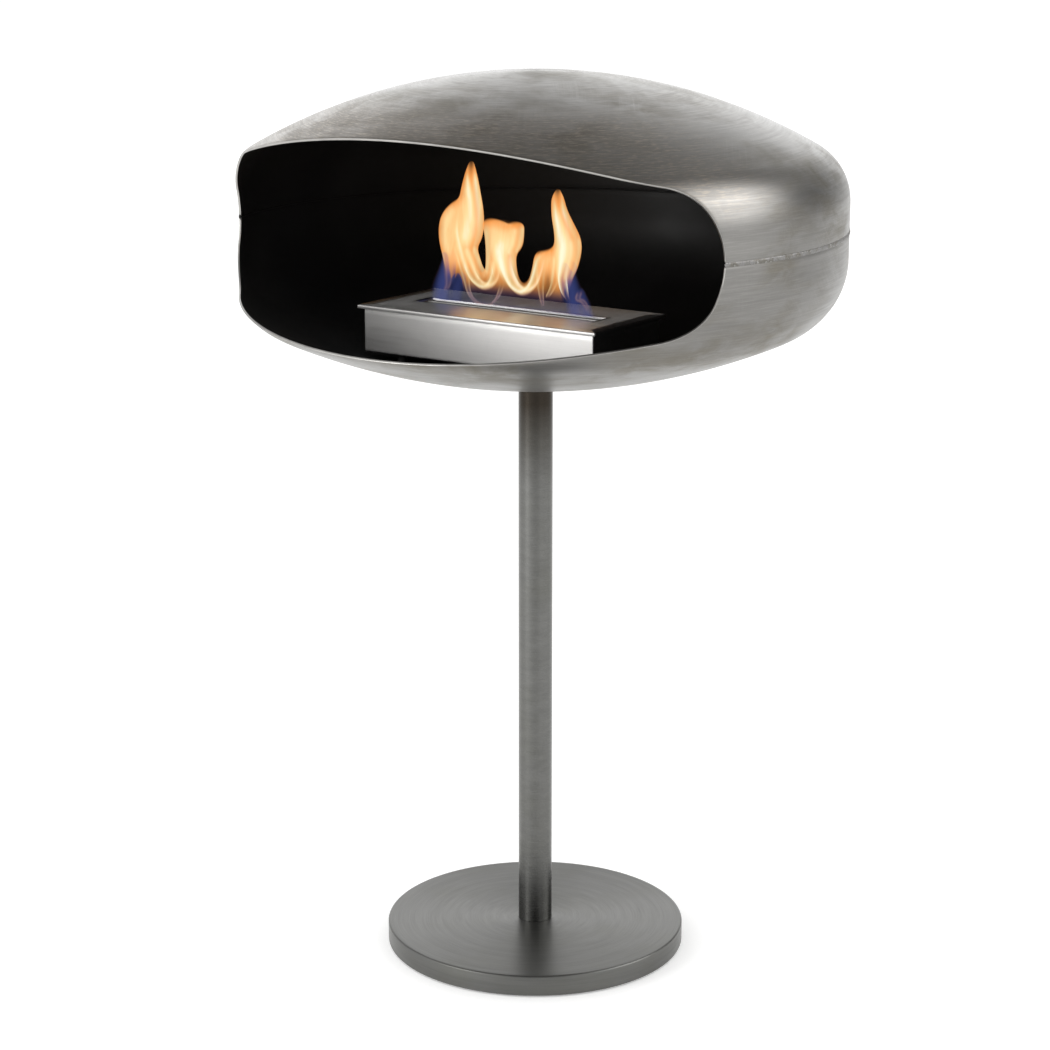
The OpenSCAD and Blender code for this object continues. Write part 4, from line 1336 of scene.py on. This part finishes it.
def studio_world():
    """White paper all round for the floor, and a soft room with a dim ceiling for what the steel mirrors."""
    world = bpy.data.worlds.new("studio")
    bpy.context.scene.world = world
    world.use_nodes = True
    tree = world.node_tree
    tree.nodes.clear()
    direction = node(tree, "ShaderNodeTexCoord", out=0)
    height = parts_of(tree, direction)[2]
    room = ramp(tree, height, *((place, (shade,) * 3) for place, shade in (
        (0.0, 0.84), (0.48, 0.84), (0.64, 0.56), (0.77, 0.33), (1.0, 0.22))))
    level = node(tree, "ShaderNodeRGBToBW", room)
    for azimuth, elevation, reach, gain in ROOM_LIGHTS:
        near = vector(tree, "DOT_PRODUCT", direction, direction_to(azimuth, elevation), out=1)
        patch = node(tree, "ShaderNodeMapRange", near, math.cos(math.radians(reach)), 1.0, 0.0, gain,
                     clamp=True, interpolation_type="SMOOTHSTEP")
        level = calc(tree, "ADD", level, patch)
    level = calc(tree, "MAXIMUM", level, 0.05)
    mirrored = node(tree, "ShaderNodeBackground", combined(tree, level, level, level), 1.0)
    paper = node(tree, "ShaderNodeBackground", (1.0, 1.0, 1.0), 1.05)
    shown = node(tree, "ShaderNodeMixShader", node(tree, "ShaderNodeLightPath", out=3), paper, mirrored)
    tree.links.new(shown, tree.nodes.new("ShaderNodeOutputWorld").inputs[0])


def aimed(made, place, forward, ahead):
    """Puts a lamp or camera at its place, with its own axis named by ahead along forward."""
    made.location = place
    made.rotation_mode = "QUATERNION"
    made.rotation_quaternion = forward.to_track_quat(ahead, "Y")


def softbox(power):
    """A soft area light in front, on the left, that brightens the face of the burner."""
    lamp = bpy.data.lights.new("softbox", "AREA")
    lamp.shape, lamp.energy = "RECTANGLE", power
    lamp.size, lamp.size_y = SOFTBOX_SIZE
    made = in_scene("softbox", lamp)
    aimed(made, SOFTBOX_PLACE, Vector(SOFTBOX_PLACE) - Vector(SOFTBOX_TARGET), "Z")
    made.visible_camera = False


def camera():
    """Stands to the right of the front and looks down a little."""
    turn, tilt = math.radians(CAMERA_TURN), math.radians(CAMERA_TILT)
    swing = math.radians(CAMERA_TURN + CAMERA_SWING)
    lens = bpy.data.cameras.new("camera")
    lens.lens, lens.sensor_width, lens.clip_start, lens.clip_end = CAMERA_LENS, 36.0, 0.05, 100.0
    made = in_scene("camera", lens)
    forward = Vector((-math.sin(swing) * math.cos(tilt), math.cos(swing) * math.cos(tilt), -math.sin(tilt)))
    aimed(made, (CAMERA_REACH * math.sin(turn), -CAMERA_REACH * math.cos(turn), CAMERA_HEIGHT), forward, "-Z")
    bpy.context.scene.camera = made


class FIRE_OT_studio(bpy.types.Operator):
    """Make the floor, the lights and the camera"""
    bl_idname = "fire.studio"
    bl_label = "Studio"

    def execute(self, context):
        studio = context.scene.fire_studio
        steps = 96
        ring = [(studio.floor_radius * math.cos(a), studio.floor_radius * math.sin(a), -0.0002)
                for a in np.arange(steps) * 2 * math.pi / steps]
        mesh = bpy.data.meshes.new("studio_floor")
        mesh.from_pydata(ring, [], [tuple(range(steps))])
        mesh.materials.append(studio_floor("studio_floor", tuple(studio.floor)))
        floor = in_scene("studio_floor", mesh)
        studio_world()
        softbox(studio.softbox)
        camera()
        view = context.scene.view_settings
        view.view_transform, view.look, view.exposure, view.gamma = "Standard", "None", 0.0, 1.0
        return {"FINISHED"}


# ---------------------------------------------------------------- the add-on

OPERATORS = (
    FIRE_OT_upper_shell, FIRE_OT_lower_shell, FIRE_OT_seam_weld, FIRE_OT_base, FIRE_OT_pole,
    FIRE_OT_swivel_parts, FIRE_OT_burner_tray, FIRE_OT_burner_casing, FIRE_OT_burner_top, FIRE_OT_slider,
    FIRE_OT_retaining_mesh, FIRE_OT_fuel_parts, FIRE_OT_flames, FIRE_OT_studio)


class FIRE_PT_panel(bpy.types.Panel):
    bl_label = "Pedestal fire"
    bl_idname = "FIRE_PT_panel"
    bl_space_type = "VIEW_3D"
    bl_region_type = "UI"
    bl_category = "Fire"

    def draw(self, context):
        for operator in OPERATORS:
            self.layout.operator(operator.bl_idname)


SETTINGS = (("fire_pod", PodSettings), ("fire_weld", WeldSettings), ("fire_stand", StandSettings),
            ("fire_burner", BurnerSettings), ("fire_studio", StudioSettings))


def register():
    for _, group in SETTINGS:
        bpy.utils.register_class(group)
    for made in (*OPERATORS, FIRE_PT_panel):
        bpy.utils.register_class(made)
    for name, group in SETTINGS:
        setattr(bpy.types.Scene, name, PointerProperty(type=group))


def unregister():
    for name, _ in SETTINGS:
        delattr(bpy.types.Scene, name)
    for made in (FIRE_PT_panel, *reversed(OPERATORS)):
        bpy.utils.unregister_class(made)
    for _, group in reversed(SETTINGS):
        bpy.utils.unregister_class(group)


def main():
    register()
    for operator in OPERATORS:
        family, name = operator.bl_idname.split(".")
        getattr(getattr(bpy.ops, family), name)()


if __name__ == "__main__":
    main()
